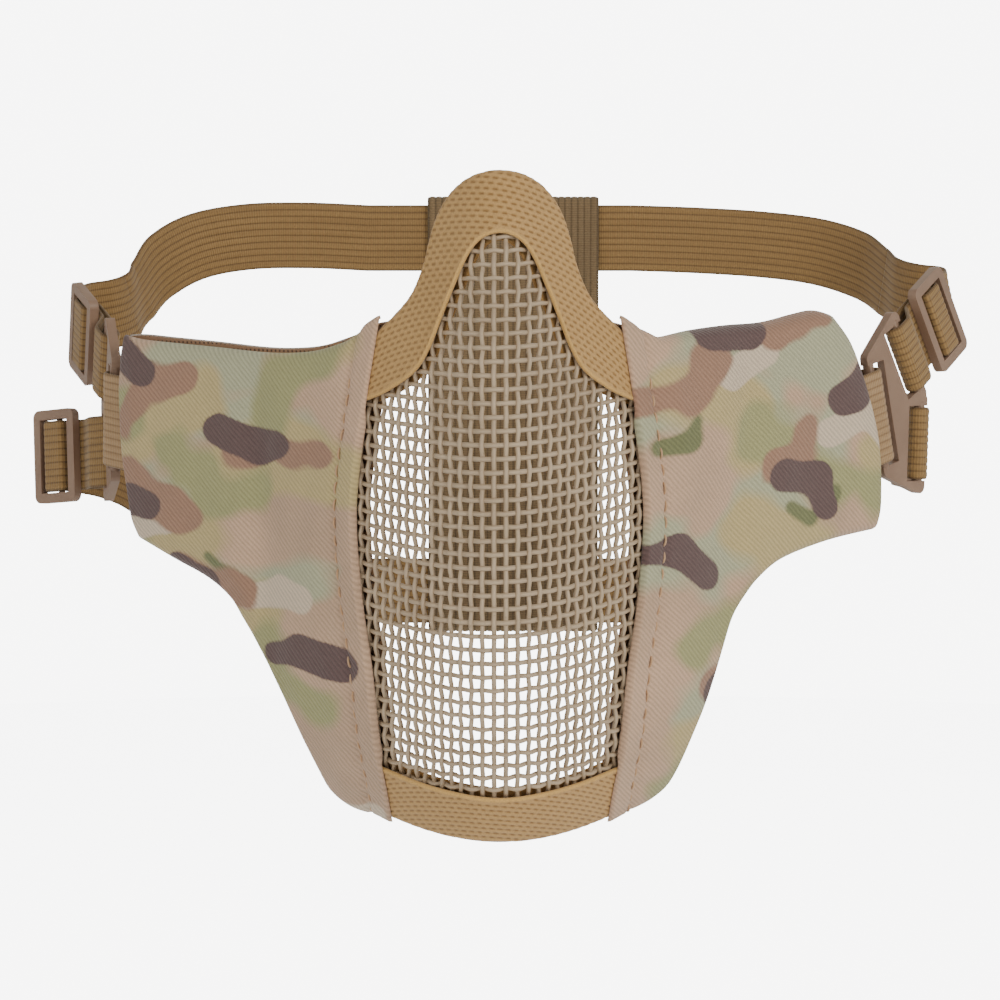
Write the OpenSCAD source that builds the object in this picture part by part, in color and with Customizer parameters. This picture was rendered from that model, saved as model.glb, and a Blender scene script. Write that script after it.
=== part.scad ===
// Half-face mask: a formed wire mesh over nose, mouth and chin, padded cloth wings over the cheeks,
// and two elastic bands that run round the back of the head.
// +X is the wearer's left, +Y points to the back of the head, +Z is up. The origin is at the lips.

/* [Face] */
// Distance from the foremost wire back to the lips
lip_depth = 20; // [14:1:26]
// Thickness of the woven wire panel, crest to crest
mesh_t = 1.8; // [1.4:0.1:2]
// Depth by which the nose ridge stands forward
ridge_depth = 12; // [9:1:14]
// Thickness of the webbing that binds the wire edges
binding_t = 1; // [0.8:0.1:1.2]

/* [Wings] */
// Thickness of the printed cover cloth
cover_t = 1.1; // [0.8:0.1:1.3]
// Thickness of the foam inside a wing
foam_t = 4.6; // [3:0.2:6]
// Thickness of the lining cloth
lining_t = 1; // [0.8:0.1:1.2]
// Distance of the fold line from the middle of the mask
fold_x = 60; // [58:0.5:62]
// Gap left in the padding at the fold line
fold_gap = 2.4; // [2:0.2:3]

/* [Buckles] */
// Thickness of the moulded buckle plate
buckle_t = 2.6; // [2.2:0.2:3]
// Radius of every buckle bar
bar_r = 1.5; // [1.3:0.1:1.6]
// Tilt of each outer bar away from the inner bar
bar_tilt = 16; // [12:1:18]
// Width of the sewn tab that holds the inner bar
tab_w = 26; // [22:1:27]
// Thickness of the tab webbing
tab_t = 1.2; // [1:0.1:1.3]

/* [Straps] */
// Width of the two head bands
strap_w = 20; // [18:0.5:20]
// Thickness of the elastic
strap_t = 1.1; // [0.9:0.05:1.1]
// Distance from an outer bar to the centre of its slider
slider_at = 20; // [19:0.5:22]
// Width of the rear connector
connector_w = 52; // [40:1:60]
// Thickness of the rear connector's elastic
connector_t = 1.5; // [1:0.1:1.6]
// Distance from the lips to the bands at the back of the head
rear_y = 163; // [158:1:168]

/* [Hidden] */
$fn = 32;

// Share of a cheek's width that the window edge's turned seam takes, clear of padding
cheek_seam_share = 0.3;
// Share of a wing's width that its padding reaches, which leaves a pocket for the tab
wing_foam_share = 0.62;

// Clear gap between two cloth layers, and between cloth and wire
layer_gap = 0.3;
// Heights of the layers above (+) and below (-) the middle of the wire panel
binding_low = mesh_t / 2 + layer_gap;
binding_high = binding_low + binding_t;
cover_low = binding_high + layer_gap;
cover_high = cover_low + cover_t;
foam_high = -binding_high;
foam_low = foam_high - foam_t;
lining_high = foam_low - layer_gap;
lining_low = lining_high - lining_t;
// The wing's padding fills the space up to the cover, where there is no wire
wing_foam_high = cover_low - layer_gap;

webbing = [0.72, 0.56, 0.36];
cover_cloth = [0.72, 0.63, 0.52];
lining_cloth = [0.52, 0.38, 0.28];
foam_grey = [0.35, 0.34, 0.32];
thread = [0.62, 0.52, 0.38];
plastic = [0.55, 0.46, 0.38];
elastic = [0.47, 0.36, 0.21];

// Shape of the face. The cheeks fall back at side_slope from a rounded front of radius front_r, and
// step back by side_step over a width of about side_step_w.
side_slope = 0.85;
front_r = 25;
side_step = 20;
side_step_w = 40;
// Above the lips the front falls back by top_back at the height brow_z, near the middle only
top_back = 40;
brow_z = 83;
top_back_w = 55;
// Under the height chin_z the chin tucks in, by chin_back over the height chin_h
chin_z = -40;
chin_back = 24;
chin_h = 45;
// The nose ridge grows from the height ridge_z up over ridge_h, and is about ridge_w wide
ridge_z = -15;
ridge_h = 75;
ridge_w = 15;

// Half outlines in the front view, as [distance from the middle, height]
// Edge of the window between the wings, from chin to nose
window_edge = [[26.5, -86], [27.5, -76], [29.5, -62], [31, -45], [33.5, -28], [35, -10], [34.5, 3],
    [32, 21], [28.6, 43.5]];
// Top and bottom edges of each wing, each from the window to the fold line and from there outwards
left_cheek_top = [[28.6, 43.5], [33, 42.5], [38, 39.2], [43.5, 36.8], [50, 35.6], [60, 35.3]];
left_cheek_bottom = [[26.5, -86], [32, -86], [37, -84.7], [41.5, -82], [44.6, -78.7], [47.5, -72.8],
    [51.2, -65], [55, -57], [58, -51.2], [60.4, -46.8]];
left_wing_top = [[60, 35.3], [75, 36.4], [87, 37.2], [96, 37.8], [101, 37.5]];
left_wing_bottom = [[60.4, -46.8], [63.5, -41.8], [66.8, -36.9], [70.3, -32], [76.9, -27.3], [87.2, -22.9],
    [97.3, -18.3]];
left_wing_edge = [[97.3, -18.3], [99.7, -13], [101, -5.5], [102.5, 5], [103, 15], [103, 26], [101, 37.5]];
right_cheek_top = [[28.6, 43.5], [33, 42.2], [37, 39.9], [41, 38.7], [50, 40.2], [60, 41.2]];
right_cheek_bottom = [[26.5, -86], [32, -85], [38, -82.2], [42.8, -78.5], [46, -73], [49.3, -65],
    [52.7, -56.5], [55.3, -49], [57.9, -41.3], [60, -35.5]];
right_wing_top = [[60, 41.2], [70, 41.7], [79, 43.6], [84.5, 44.5], [88.5, 43.5]];
right_wing_bottom = [[60, -35.5], [63, -31], [67.3, -26.3], [74.5, -21.7], [88, -18], [102, -16]];
right_wing_edge = [[102, -16], [103.5, -10], [103.5, 0], [102.5, 10], [100, 20], [97, 29], [93.5, 37],
    [88.5, 43.5]];
// Outer and inner edges of the nose binding, from its hidden end to the ridge
nose_outer = [[35, 33], [30.5, 39.5], [25, 45], [21, 50], [18, 57], [16.5, 63.5], [14.5, 69.8], [11, 75.3],
    [6, 78.9], [0, 80.1]];
nose_inner = [[35, 21.5], [31, 23], [26, 25.5], [20, 30], [16.5, 35.5], [13.5, 43], [10.5, 50.5],
    [7, 58.5], [3.8, 62.5], [0, 63.8]];
// Upper and lower edges of the chin binding, from its hidden end to the middle
chin_upper = [[33, -69], [28, -70.5], [20, -72.5], [11, -74], [0, -75]];
chin_lower = [[33, -83.5], [28, -85.5], [20, -87.5], [11, -88.8], [0, -89.3]];
// Half width of the wire panel at each height
panel_widths = [[-82, 32], [-76, 36], [-60, 38], [-40, 41], [-20, 43], [0, 43], [14, 41.5], [26, 36.5],
    [36, 29.5], [43, 24.5], [50, 19], [57, 15.8], [64, 14.2], [69, 12.2], [73, 9], [75.5, 5.5],
    [77, 2]];

// Buckle centres at the inner bar, their turn in plan from +X, and their roll in their own plane
right_buckle_at = [103.1, 72.2, 15.2];
right_buckle_turn = 42;
right_buckle_roll = 14;
left_buckle_at = [106, 75, 14.2];
left_buckle_turn = 75;
left_buckle_roll = 8;
// The tabs' turn, which is the wings' own direction at their outer edges
tab_turn = 41;
// Clear radius round the inner bar in a tab, and the length of its leaves from that bar
tab_loop_r = bar_r + 0.6;
tab_leaf = 17;
// Swing of each strap about its bar, towards the back of the head
right_upper_swing = 8;
right_lower_swing = 53;
left_upper_swing = -13;
left_lower_swing = -38;
// Outer bars from the inner bar: along the plate, and up or down it
bar_out = 15.5;
bar_up = 12.5;
bar_len = 23;
slot_w = 4.2;
inner_slot_h = 29;
inner_slot_x = 4;
inner_slot_w = bar_r + slot_w + 3.5;
// Radius of the plate's corners, and how far its inner edge reaches from the middle
plate_corner = 2;
plate_half_h = 16;

// Routes of the bands from their sliders to the back of the head, on the positive side
right_upper_route = [[129, 107.3, 45], [126, 112.7, 45.8], [120, 116.3, 46.5], [115.5, 123, 48],
    [113, 133, 51], [107.5, 145, 55.8], [96, 154, 59.8], [80, 159, 62], [60, 162, 63.3]];
left_upper_route = [[122, 118.5, 40.2], [118.8, 124, 41], [112.5, 127.2, 42], [108.5, 132.5, 44],
    [106, 139.5, 48.5], [101, 147.5, 55.8], [91, 155, 61.6], [76, 159.5, 64.4], [58, 162, 64.8]];
right_lower_route = [[112.8, 121, 7.5], [110.8, 128, 6], [106.5, 138, 1], [98, 148, -8],
    [83, 156, -21], [62, 161, -34.5]];
left_lower_route = [[134, 116, 1.2], [130.5, 121, 0.6], [123, 124, -0.5], [114, 128.5, -3],
    [106, 135.5, -8], [96.5, 145.5, -18], [82, 155, -29], [62, 161, -39]];
upper_z = 64;
lower_z = -44;
// How far the connector sits to the wearer's left of the middle
connector_x = 4;
// Half the length of band that lies straight behind the head, inside the connector
straight_rear = 40;

// Slider frame: half its length along the strap, rail width, end width and centre bar radius
slider_half = 8;
rail_w = 2.6;
slider_end_w = 2.8;
slider_slot_h = 21;
slider_corner = 2.2;
slider_bar_r = 0.9;
slider_bar_h = -1.3;
slider_low = -1.1;
slider_high = 1.5;

// Corner points of the band round the slider's bar, round the buckle's bar and back through the slider,
// as [along the strap, height towards the front, bend radius], from the sewn end to the free run
off_plastic = 0.25 + strap_t / 2;
wrap_h = bar_r + 0.3 + strap_t / 2;
under_rail = slider_low - off_plastic;
over_bar = slider_bar_h + slider_bar_r + off_plastic;
under_bar = slider_bar_h - slider_bar_r - off_plastic;
beside_bar = slider_bar_r + off_plastic;
back_layer = under_rail - strap_t - 0.4;
beside_wrap = beside_bar + strap_t + 0.5;
over_wrap = over_bar + strap_t + 0.2;
loop_corners = [[slider_at, under_bar, 0], [slider_at + beside_bar, under_bar, 0.8],
    [slider_at + beside_bar, over_bar, 0.8], [slider_at - beside_bar, over_bar, 0.8],
    [slider_at - beside_bar, back_layer, 0.8], [9, back_layer, 3], [3, -wrap_h, 3],
    [-wrap_h, -wrap_h, wrap_h - 0.01], [-wrap_h, wrap_h, wrap_h - 0.01], [4.5, wrap_h, 3],
    [slider_at - slider_half - 1.5, under_rail, 2], [slider_at - beside_wrap, under_rail, 0.8],
    [slider_at - beside_wrap, over_wrap, 0.8], [slider_at + beside_wrap, over_wrap, 0.8],
    [slider_at + beside_wrap, under_rail, 0.8], [slider_at + slider_half + 2, under_rail, 0]];

// Gap round a band inside a sleeve of the connector, and the sleeve's height
sleeve_gap = 0.45;
sleeve_h = strap_w + 4.5;
sleeve_in = strap_t / 2 + sleeve_gap;
sleeve_out = sleeve_in + connector_t;
// Height of the middle of each sleeve's fold above or below its band
fold_off = strap_w / 2 + 0.2;

// Stitches of the window seam and of the connector
stitch_len = 3;
stitch_gap = 1.4;
stitch_t = 0.5;
window_seam_in = 6;

function unit(v) = v / norm(v);
function mix(a, b, f) = a + (b - a) * f;
function ramp(f) = let(c = min(1, max(0, f))) c * c * (3 - 2 * c);
function backwards(list) = [for (i = [len(list) - 1:-1:0]) list[i]];
function mirrored(p) = [-p[0], p[1], p[2]];

// Point at share t along a smooth curve through hand-placed points
function curve_part(a, b, c, d, t) =
    0.5 * (2 * b + (c - a) * t + (2 * a - 5 * b + 4 * c - d) * t * t + (3 * b - a - 3 * c + d) * t * t * t);
function along(pts, t) =
    let(n = len(pts) - 1, u = min(max(t, 0), 1) * n, i = min(floor(u), n - 1))
    curve_part(pts[max(i - 1, 0)], pts[i], pts[i + 1], pts[min(i + 2, n)], u - i);

// The face surface: depth behind the lips' plane for a place in the front view
function bell(x, width) = exp(-pow(x / width, 2));
function cheek_sweep(x) =
    side_slope * (sqrt(x * x + front_r * front_r) - front_r) + side_step * (1 - bell(x, side_step_w));
function top_slope(x, z) = z > 0 ? top_back * pow(z / brow_z, 1.5) * bell(x, top_back_w) : 0;
function chin_tuck(z) = z < chin_z ? chin_back * pow((chin_z - z) / chin_h, 2) : 0;
function nose_ridge(x, z) = ridge_depth * ramp((z - ridge_z) / ridge_h) * bell(x, ridge_w);
function face_y(x, z) = cheek_sweep(x) + top_slope(x, z) + chin_tuck(z) - nose_ridge(x, z) - lip_depth;
function face_normal(x, z) =
    unit([face_y(x + 0.5, z) - face_y(x - 0.5, z), -1, face_y(x, z + 0.5) - face_y(x, z - 0.5)]);
function on_face(p, h) = [p[0], face_y(p[0], p[1]), p[1]] + h * face_normal(p[0], p[1]);

// Place in the front view inside four edges: bottom and top run outwards, inner and outer run up
function patch(bottom, top, inner, outer, s, t) =
    mix(along(bottom, s), along(top, s), t) + mix(along(inner, t), along(outer, t), s)
    - mix(mix(bottom[0], bottom[len(bottom) - 1], s), mix(top[0], top[len(top) - 1], s), t);

// Closed solid between two grids of points of the same size. The first grid faces the front.
module skin(front, back) {
    rows = len(front);
    cols = len(front[0]);
    n = rows * cols;
    rim = concat([for (c = [0:cols - 1]) c], [for (r = [1:rows - 1]) r * cols + cols - 1],
        [for (c = [cols - 2:-1:0]) (rows - 1) * cols + c], [for (r = [rows - 2:-1:1]) r * cols]);
    points = concat([for (r = front) each r], [for (r = back) each r]);
    cells = [for (r = [0:rows - 2]) for (c = [0:cols - 2]) r * cols + c];
    faces = concat(
        [for (a = cells) each [[a, a + cols, a + cols + 1], [a, a + cols + 1, a + 1]]],
        [for (a = cells) let(b = n + a) each [[b, b + cols + 1, b + cols], [b, b + 1, b + cols + 1]]],
        [for (i = [0:len(rim) - 1]) let(a = rim[i], b = rim[(i + 1) % len(rim)])
            each [[a, b, n + b], [a, n + b, n + a]]]);
    polyhedron(points, faces, convexity = 8);
}

// Cloth or foam layer on the face between two heights, over a patch of the front view
module layer(bottom, top, inner, outer, high, low, s_range, rows = 12, cols = 9) {
    places = [for (j = [0:rows]) [for (i = [0:cols])
        patch(bottom, top, inner, outer, mix(s_range[0], s_range[1], i / cols), j / rows)]];
    skin([for (r = places) [for (p = r) on_face(p, high)]],
        [for (r = places) [for (p = r) on_face(p, low)]]);
}

// One side's cheek layer, from the window edge to the fold line
module cheek_layer(bottom, top, high, low, inset) {
    half_gap = fold_gap / 2;
    shift = [[for (p = bottom) p - [half_gap * ramp((p[0] - 40) / 20), 0]],
        [for (p = top) p - [half_gap * ramp((p[0] - 40) / 20), 0]]];
    fold_side = [shift[0][len(bottom) - 1], shift[1][len(top) - 1]];
    layer(shift[0], shift[1], window_edge, fold_side, high, low, [inset, 1], rows = 18);
}

// One side's wing layer, from the fold line to the outer edge
module wing_layer(bottom, top, edge, high, low, outset) {
    half_gap = fold_gap / 2;
    shift = [[for (p = bottom) p + [half_gap * ramp((80 - p[0]) / 20), 0]],
        [for (p = top) p + [half_gap * ramp((80 - p[0]) / 20), 0]]];
    fold_side = [shift[0][0], shift[1][0]];
    layer(shift[0], shift[1], fold_side, edge, high, low, [0, outset]);
}

module mesh_panel() {
    cols = 22;
    rows = 34;
    z_low = panel_widths[0][0];
    z_high = panel_widths[len(panel_widths) - 1][0];
    chin_drop = 3;
    places = [for (j = [0:rows]) let(t = sin(90 * j / rows), z = mix(z_low, z_high, t))
        [for (i = [0:cols]) let(s = 2 * i / cols - 1)
            [s * lookup(z, panel_widths), z - chin_drop * pow(1 - t, 6) * (1 - s * s)]]];
    color([0.68, 0.62, 0.54])
        skin([for (r = places) [for (p = r) on_face(p, mesh_t / 2)]],
            [for (r = places) [for (p = r) on_face(p, -mesh_t / 2)]]);
}

// Webbing folded over the panel's edge: front leaf, turned edge and back leaf
module folded_binding(free_edge, turned_edge, steps) {
    full_free = concat(free_edge, [for (p = backwards(free_edge)) if (p[0] > 0) [-p[0], p[1]]]);
    full_turned = concat(turned_edge, [for (p = backwards(turned_edge)) if (p[0] > 0) [-p[0], p[1]]]);
    free = [for (i = [0:steps]) along(full_free, i / steps)];
    turned = [for (i = [0:steps]) along(full_turned, i / steps)];
    wall = [for (i = [0:steps]) turned[i] + unit(free[i] - turned[i]) * binding_t];
    middle = [for (i = [0:steps]) mix(free[i], turned[i], 0.5)];
    outside = [for (i = [0:steps]) [on_face(free[i], binding_high), on_face(middle[i], binding_high),
        on_face(turned[i], binding_high), on_face(turned[i], -binding_high),
        on_face(middle[i], -binding_high), on_face(free[i], -binding_high)]];
    inside = [for (i = [0:steps]) [on_face(free[i], binding_low), on_face(middle[i], binding_low),
        on_face(wall[i], binding_low), on_face(wall[i], -binding_low),
        on_face(middle[i], -binding_low), on_face(free[i], -binding_low)]];
    skin(outside, inside);
}

module nose_binding() {
    color(webbing) folded_binding(nose_inner, nose_outer, 40);
}

module chin_binding() {
    color(webbing) folded_binding(chin_upper, chin_lower, 20);
}

module left_cheek_cover() {
    color(cover_cloth) mirror([1, 0, 0])
        cheek_layer(left_cheek_bottom, left_cheek_top, cover_high, cover_low, 0);
}

module left_cheek_foam() {
    color(foam_grey) mirror([1, 0, 0])
        cheek_layer(left_cheek_bottom, left_cheek_top, foam_high, foam_low, cheek_seam_share);
}

module left_cheek_lining() {
    color(lining_cloth) mirror([1, 0, 0])
        cheek_layer(left_cheek_bottom, left_cheek_top, lining_high, lining_low, 0);
}

module right_cheek_cover() {
    color(cover_cloth) cheek_layer(right_cheek_bottom, right_cheek_top, cover_high, cover_low, 0);
}

module right_cheek_foam() {
    color(foam_grey)
        cheek_layer(right_cheek_bottom, right_cheek_top, foam_high, foam_low, cheek_seam_share);
}

module right_cheek_lining() {
    color(lining_cloth) cheek_layer(right_cheek_bottom, right_cheek_top, lining_high, lining_low, 0);
}

module left_wing_cover() {
    color(cover_cloth) mirror([1, 0, 0])
        wing_layer(left_wing_bottom, left_wing_top, left_wing_edge, cover_high, cover_low, 1);
}

module left_wing_foam() {
    color(foam_grey) mirror([1, 0, 0]) wing_layer(left_wing_bottom, left_wing_top, left_wing_edge,
        wing_foam_high, foam_low, wing_foam_share);
}

module left_wing_lining() {
    color(lining_cloth) mirror([1, 0, 0])
        wing_layer(left_wing_bottom, left_wing_top, left_wing_edge, lining_high, lining_low, 1);
}

module right_wing_cover() {
    color(cover_cloth)
        wing_layer(right_wing_bottom, right_wing_top, right_wing_edge, cover_high, cover_low, 1);
}

module right_wing_foam() {
    color(foam_grey) wing_layer(right_wing_bottom, right_wing_top, right_wing_edge, wing_foam_high,
        foam_low, wing_foam_share);
}

module right_wing_lining() {
    color(lining_cloth)
        wing_layer(right_wing_bottom, right_wing_top, right_wing_edge, lining_high, lining_low, 1);
}

// Row of stitches laid on the cover beside the window edge
module window_stitching() {
    seam = [for (p = window_edge) p + [window_seam_in, 0]];
    run = norm(seam[0] - seam[len(seam) - 1]);
    count = floor(run / (stitch_len + stitch_gap));
    low = cover_high + 0.1;
    for (i = [1:count - 2]) {
        a = along(seam, i / count);
        b = along(seam, (i + stitch_len / (stitch_len + stitch_gap)) / count);
        side = [stitch_t / 2, 0];
        corners = [[a - side, a + side], [b - side, b + side]];
        skin([for (row = corners) [for (p = row) on_face(p, low + stitch_t)]],
            [for (row = corners) [for (p = row) on_face(p, low)]]);
    }
}

module left_window_stitching() {
    color(thread) mirror([1, 0, 0]) window_stitching();
}

module right_window_stitching() {
    color(thread) window_stitching();
}

// Puts a shape drawn round the inner bar into its place on the positive side.
// In that frame x runs outwards along the plate, -y is the plate's front and z runs up the bar.
module at_buckle(place, turn, roll) {
    translate(place) rotate([0, 0, turn]) rotate([0, -roll, 0]) children();
}

// Webbing tab: a loop round the inner bar with two leaves that run back into the wing
module tab() {
    outer_r = tab_loop_r + tab_t;
    leaf_mid = tab_loop_r + tab_t / 2;
    translate([0, 0, -tab_w / 2]) linear_extrude(tab_w) {
        difference() {
            circle(r = outer_r);
            circle(r = tab_loop_r);
            translate([-outer_r, -outer_r]) square([outer_r, 2 * outer_r]);
        }
        for (s = [-1, 1])
            translate([-tab_leaf, s * leaf_mid - tab_t / 2]) square([tab_leaf, tab_t]);
    }
}

module left_tab() {
    color(webbing) mirror([1, 0, 0]) at_buckle(left_buckle_at, left_buckle_turn, left_buckle_roll)
        rotate([0, 0, tab_turn - left_buckle_turn]) tab();
}

module right_tab() {
    color(webbing) at_buckle(right_buckle_at, right_buckle_turn, right_buckle_roll)
        rotate([0, 0, tab_turn - right_buckle_turn]) tab();
}

// Outline of one lobe of the plate, from the inner bar to one outer bar
module lobe() {
    inner_x = 0.5;
    half_bar = (bar_len + 1) / 2 * [-sin(bar_tilt), cos(bar_tilt)];
    corners = [[inner_x, plate_half_h], [bar_out, bar_up] + half_bar, [bar_out, bar_up] - half_bar,
        [inner_x, 0]];
    hull() for (p = corners) translate(p) circle(r = plate_corner);
}

module outer_slot() {
    translate([bar_out, bar_up]) rotate(bar_tilt)
        translate([-bar_r - slot_w, -(strap_w + 1) / 2]) square([slot_w + 6, strap_w + 1]);
}

module outer_bar() {
    translate([bar_out, 0, bar_up]) rotate([0, -bar_tilt, 0])
        cylinder(r = bar_r, h = bar_len, center = true);
}

// Plate with one inner and two outer bars, drawn round the inner bar
module buckle() {
    rotate([90, 0, 0]) linear_extrude(buckle_t, center = true) difference() {
        union() {
            lobe();
            mirror([0, 1]) lobe();
        }
        translate([-inner_slot_x, -inner_slot_h / 2]) square([inner_slot_w, inner_slot_h]);
        outer_slot();
        mirror([0, 1]) outer_slot();
    }
    cylinder(r = bar_r, h = inner_slot_h + 2, center = true);
    outer_bar();
    mirror([0, 0, 1]) outer_bar();
}

module left_buckle() {
    color(plastic) mirror([1, 0, 0]) at_buckle(left_buckle_at, left_buckle_turn, left_buckle_roll) buckle();
}

module right_buckle() {
    color(plastic) at_buckle(right_buckle_at, right_buckle_turn, right_buckle_roll) buckle();
}

// Frame of one slider, with rounded corners, round its centre bar
module slider() {
    half_h = slider_slot_h / 2 + slider_end_w;
    core = [slider_half - slider_corner, half_h - slider_corner];
    translate([0, -(slider_low + slider_high) / 2, 0]) rotate([90, 0, 0])
        linear_extrude(slider_high - slider_low, center = true) difference() {
            union() {
                square([2 * core[0], 2 * half_h], center = true);
                square([2 * slider_half, 2 * core[1]], center = true);
                for (x = [-1, 1], y = [-1, 1])
                    translate([x * core[0], y * core[1]]) circle(r = slider_corner);
            }
            square([2 * (slider_half - rail_w), slider_slot_h], center = true);
        }
    translate([0, -slider_bar_h, 0]) cylinder(r = slider_bar_r, h = slider_slot_h + 2, center = true);
}

// Puts a slider on the strap of one outer bar: up is 1 for the upper bar and -1 for the lower one
module at_slider(place, turn, roll, up, swing) {
    at_buckle(place, turn, roll) translate([bar_out, 0, up * bar_up]) rotate([0, -up * bar_tilt, 0])
        rotate([0, 0, swing]) translate([slider_at, 0, 0]) slider();
}

module left_upper_slider() {
    color(plastic) mirror([1, 0, 0])
        at_slider(left_buckle_at, left_buckle_turn, left_buckle_roll, 1, left_upper_swing);
}

module left_lower_slider() {
    color(plastic) mirror([1, 0, 0])
        at_slider(left_buckle_at, left_buckle_turn, left_buckle_roll, -1, left_lower_swing);
}

module right_upper_slider() {
    color(plastic) at_slider(right_buckle_at, right_buckle_turn, right_buckle_roll, 1, right_upper_swing);
}

module right_lower_slider() {
    color(plastic) at_slider(right_buckle_at, right_buckle_turn, right_buckle_roll, -1, right_lower_swing);
}

// Points of an arc that rounds the corner b between a and c
function corner_arc(a, b, c, r, steps) =
    let(u = unit(a - b), v = unit(c - b), half = acos(u * v) / 2, reach = r / tan(half),
        centre = b + unit(u + v) * r / sin(half), e = unit(b + u * reach - centre),
        f = unit(b + v * reach - centre), turn = 180 - 2 * half)
    [for (i = [0:steps]) let(g = i / steps * turn)
        centre + r * (sin(turn - g) * e + sin(g) * f) / sin(turn)];

function flat(p) = [p[0], p[1]];
function loop_line() = [for (i = [0:len(loop_corners) - 1]) let(p = loop_corners[i])
    each p[2] == 0 ? [flat(p)] : corner_arc(flat(loop_corners[i - 1]), flat(p), flat(loop_corners[i + 1]),
        p[2], p[2] > 2 ? 6 : 4)];

// Turns of a vector about z and about y
function about_z(v, a) = [v[0] * cos(a) - v[1] * sin(a), v[0] * sin(a) + v[1] * cos(a), v[2]];
function tilt_up(v, a) = [v[0] * cos(a) - v[2] * sin(a), v[1], v[0] * sin(a) + v[2] * cos(a)];

// Place on the positive side of a point [along, towards the front, up] on one outer bar's strap
function strap_dir(v, turn, roll, up, swing) =
    about_z(tilt_up(tilt_up(about_z([v[0], -v[1], v[2]], swing), up * bar_tilt), roll), turn);
function bar_place(place, turn, roll, up) = place + about_z(tilt_up([bar_out, 0, up * bar_up], roll), turn);

// One side's band, as [middle, direction of its width], from the sewn end to the back of the head
function side_band(place, turn, roll, up, swing, route, rear_z) =
    let(bar = bar_place(place, turn, roll, up), across = strap_dir([0, 0, 1], turn, roll, up, swing),
        loop = [for (p = loop_line()) bar + strap_dir([p[0], p[1], 0], turn, roll, up, swing)],
        free = concat([loop[len(loop) - 1]], route, [[straight_rear, rear_y, rear_z]]),
        steps = 4 * len(free))
    concat([for (p = loop) [p, across]],
        [for (i = [1:steps]) let(p = along(free, i / steps), q = along(free, i / steps - 0.5 / steps),
            t = unit(p - q), w = unit([0, 0, 1] - t[2] * t))
            [p, unit(mix(across, w, ramp(4 * i / steps)))]]);

// Band of elastic along a line of [middle, direction of its width]
module band(line) {
    last = len(line) - 1;
    sides = [for (i = [0:last]) let(t = unit(line[min(i + 1, last)][0] - line[max(i - 1, 0)][0]))
        unit(cross(line[i][1], t)) * strap_t / 2];
    edge = strap_w / 2;
    skin([for (i = [0:last]) [for (s = [-1, 1]) line[i][0] + s * edge * line[i][1] - sides[i]]],
        [for (i = [0:last]) [for (s = [-1, 1]) line[i][0] + s * edge * line[i][1] + sides[i]]]);
}

function other_side(line) = [for (p = line) [mirrored(p[0]), mirrored(p[1])]];

module upper_strap() {
    color(elastic) band(concat(
        other_side(side_band(left_buckle_at, left_buckle_turn, left_buckle_roll, 1, left_upper_swing,
            left_upper_route, upper_z)),
        backwards(side_band(right_buckle_at, right_buckle_turn, right_buckle_roll, 1, right_upper_swing,
            right_upper_route, upper_z))));
}

module lower_strap() {
    color(elastic) band(concat(
        other_side(side_band(left_buckle_at, left_buckle_turn, left_buckle_roll, -1, left_lower_swing,
            left_lower_route, lower_z)),
        backwards(side_band(right_buckle_at, right_buckle_turn, right_buckle_roll, -1, right_lower_swing,
            right_lower_route, lower_z))));
}

// Section of one sleeve, with its band at the origin and its fold on the +y side
module sleeve_section() {
    difference() {
        union() {
            translate([0, fold_off]) circle(r = sleeve_out);
            translate([-sleeve_out, fold_off - sleeve_h]) square([2 * sleeve_out, sleeve_h]);
        }
        translate([0, fold_off]) circle(r = sleeve_in);
        translate([-sleeve_in, fold_off - sleeve_h + connector_t])
            square([2 * sleeve_in, sleeve_h - connector_t]);
    }
}

module rear_connector() {
    color(elastic) translate([connector_x - connector_w / 2, 0, 0]) rotate([90, 0, 90])
    linear_extrude(connector_w) {
        translate([rear_y, upper_z]) sleeve_section();
        translate([rear_y, lower_z]) mirror([0, 1]) sleeve_section();
        translate([rear_y - sleeve_out, lower_z]) square([connector_t, upper_z - lower_z]);
    }
}

// Two rows of stitches that close the connector's sleeves
module connector_stitching() {
    pitch = stitch_len + stitch_gap;
    count = floor((connector_w - 4) / pitch);
    seam_off = fold_off - sleeve_h + connector_t / 2;
    back_y = rear_y + sleeve_out + 0.05;
    color(thread) for (i = [0:count - 1], z = [upper_z + seam_off, lower_z - seam_off])
        translate([connector_x + (i - (count - 1) / 2) * pitch - stitch_len / 2, back_y, z - stitch_t / 2])
            cube([stitch_len, stitch_t, stitch_t]);
}

mesh_panel();
nose_binding();
chin_binding();
left_cheek_cover();
left_cheek_foam();
left_cheek_lining();
left_window_stitching();
right_cheek_cover();
right_cheek_foam();
right_cheek_lining();
right_window_stitching();
left_wing_cover();
left_wing_foam();
left_wing_lining();
left_tab();
right_wing_cover();
right_wing_foam();
right_wing_lining();
right_tab();
left_buckle();
left_upper_slider();
left_lower_slider();
right_buckle();
right_upper_slider();
right_lower_slider();
upper_strap();
lower_strap();
rear_connector();
connector_stitching();
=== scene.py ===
import math

import bmesh
import bpy
import numpy as np
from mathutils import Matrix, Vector, noise


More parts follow.
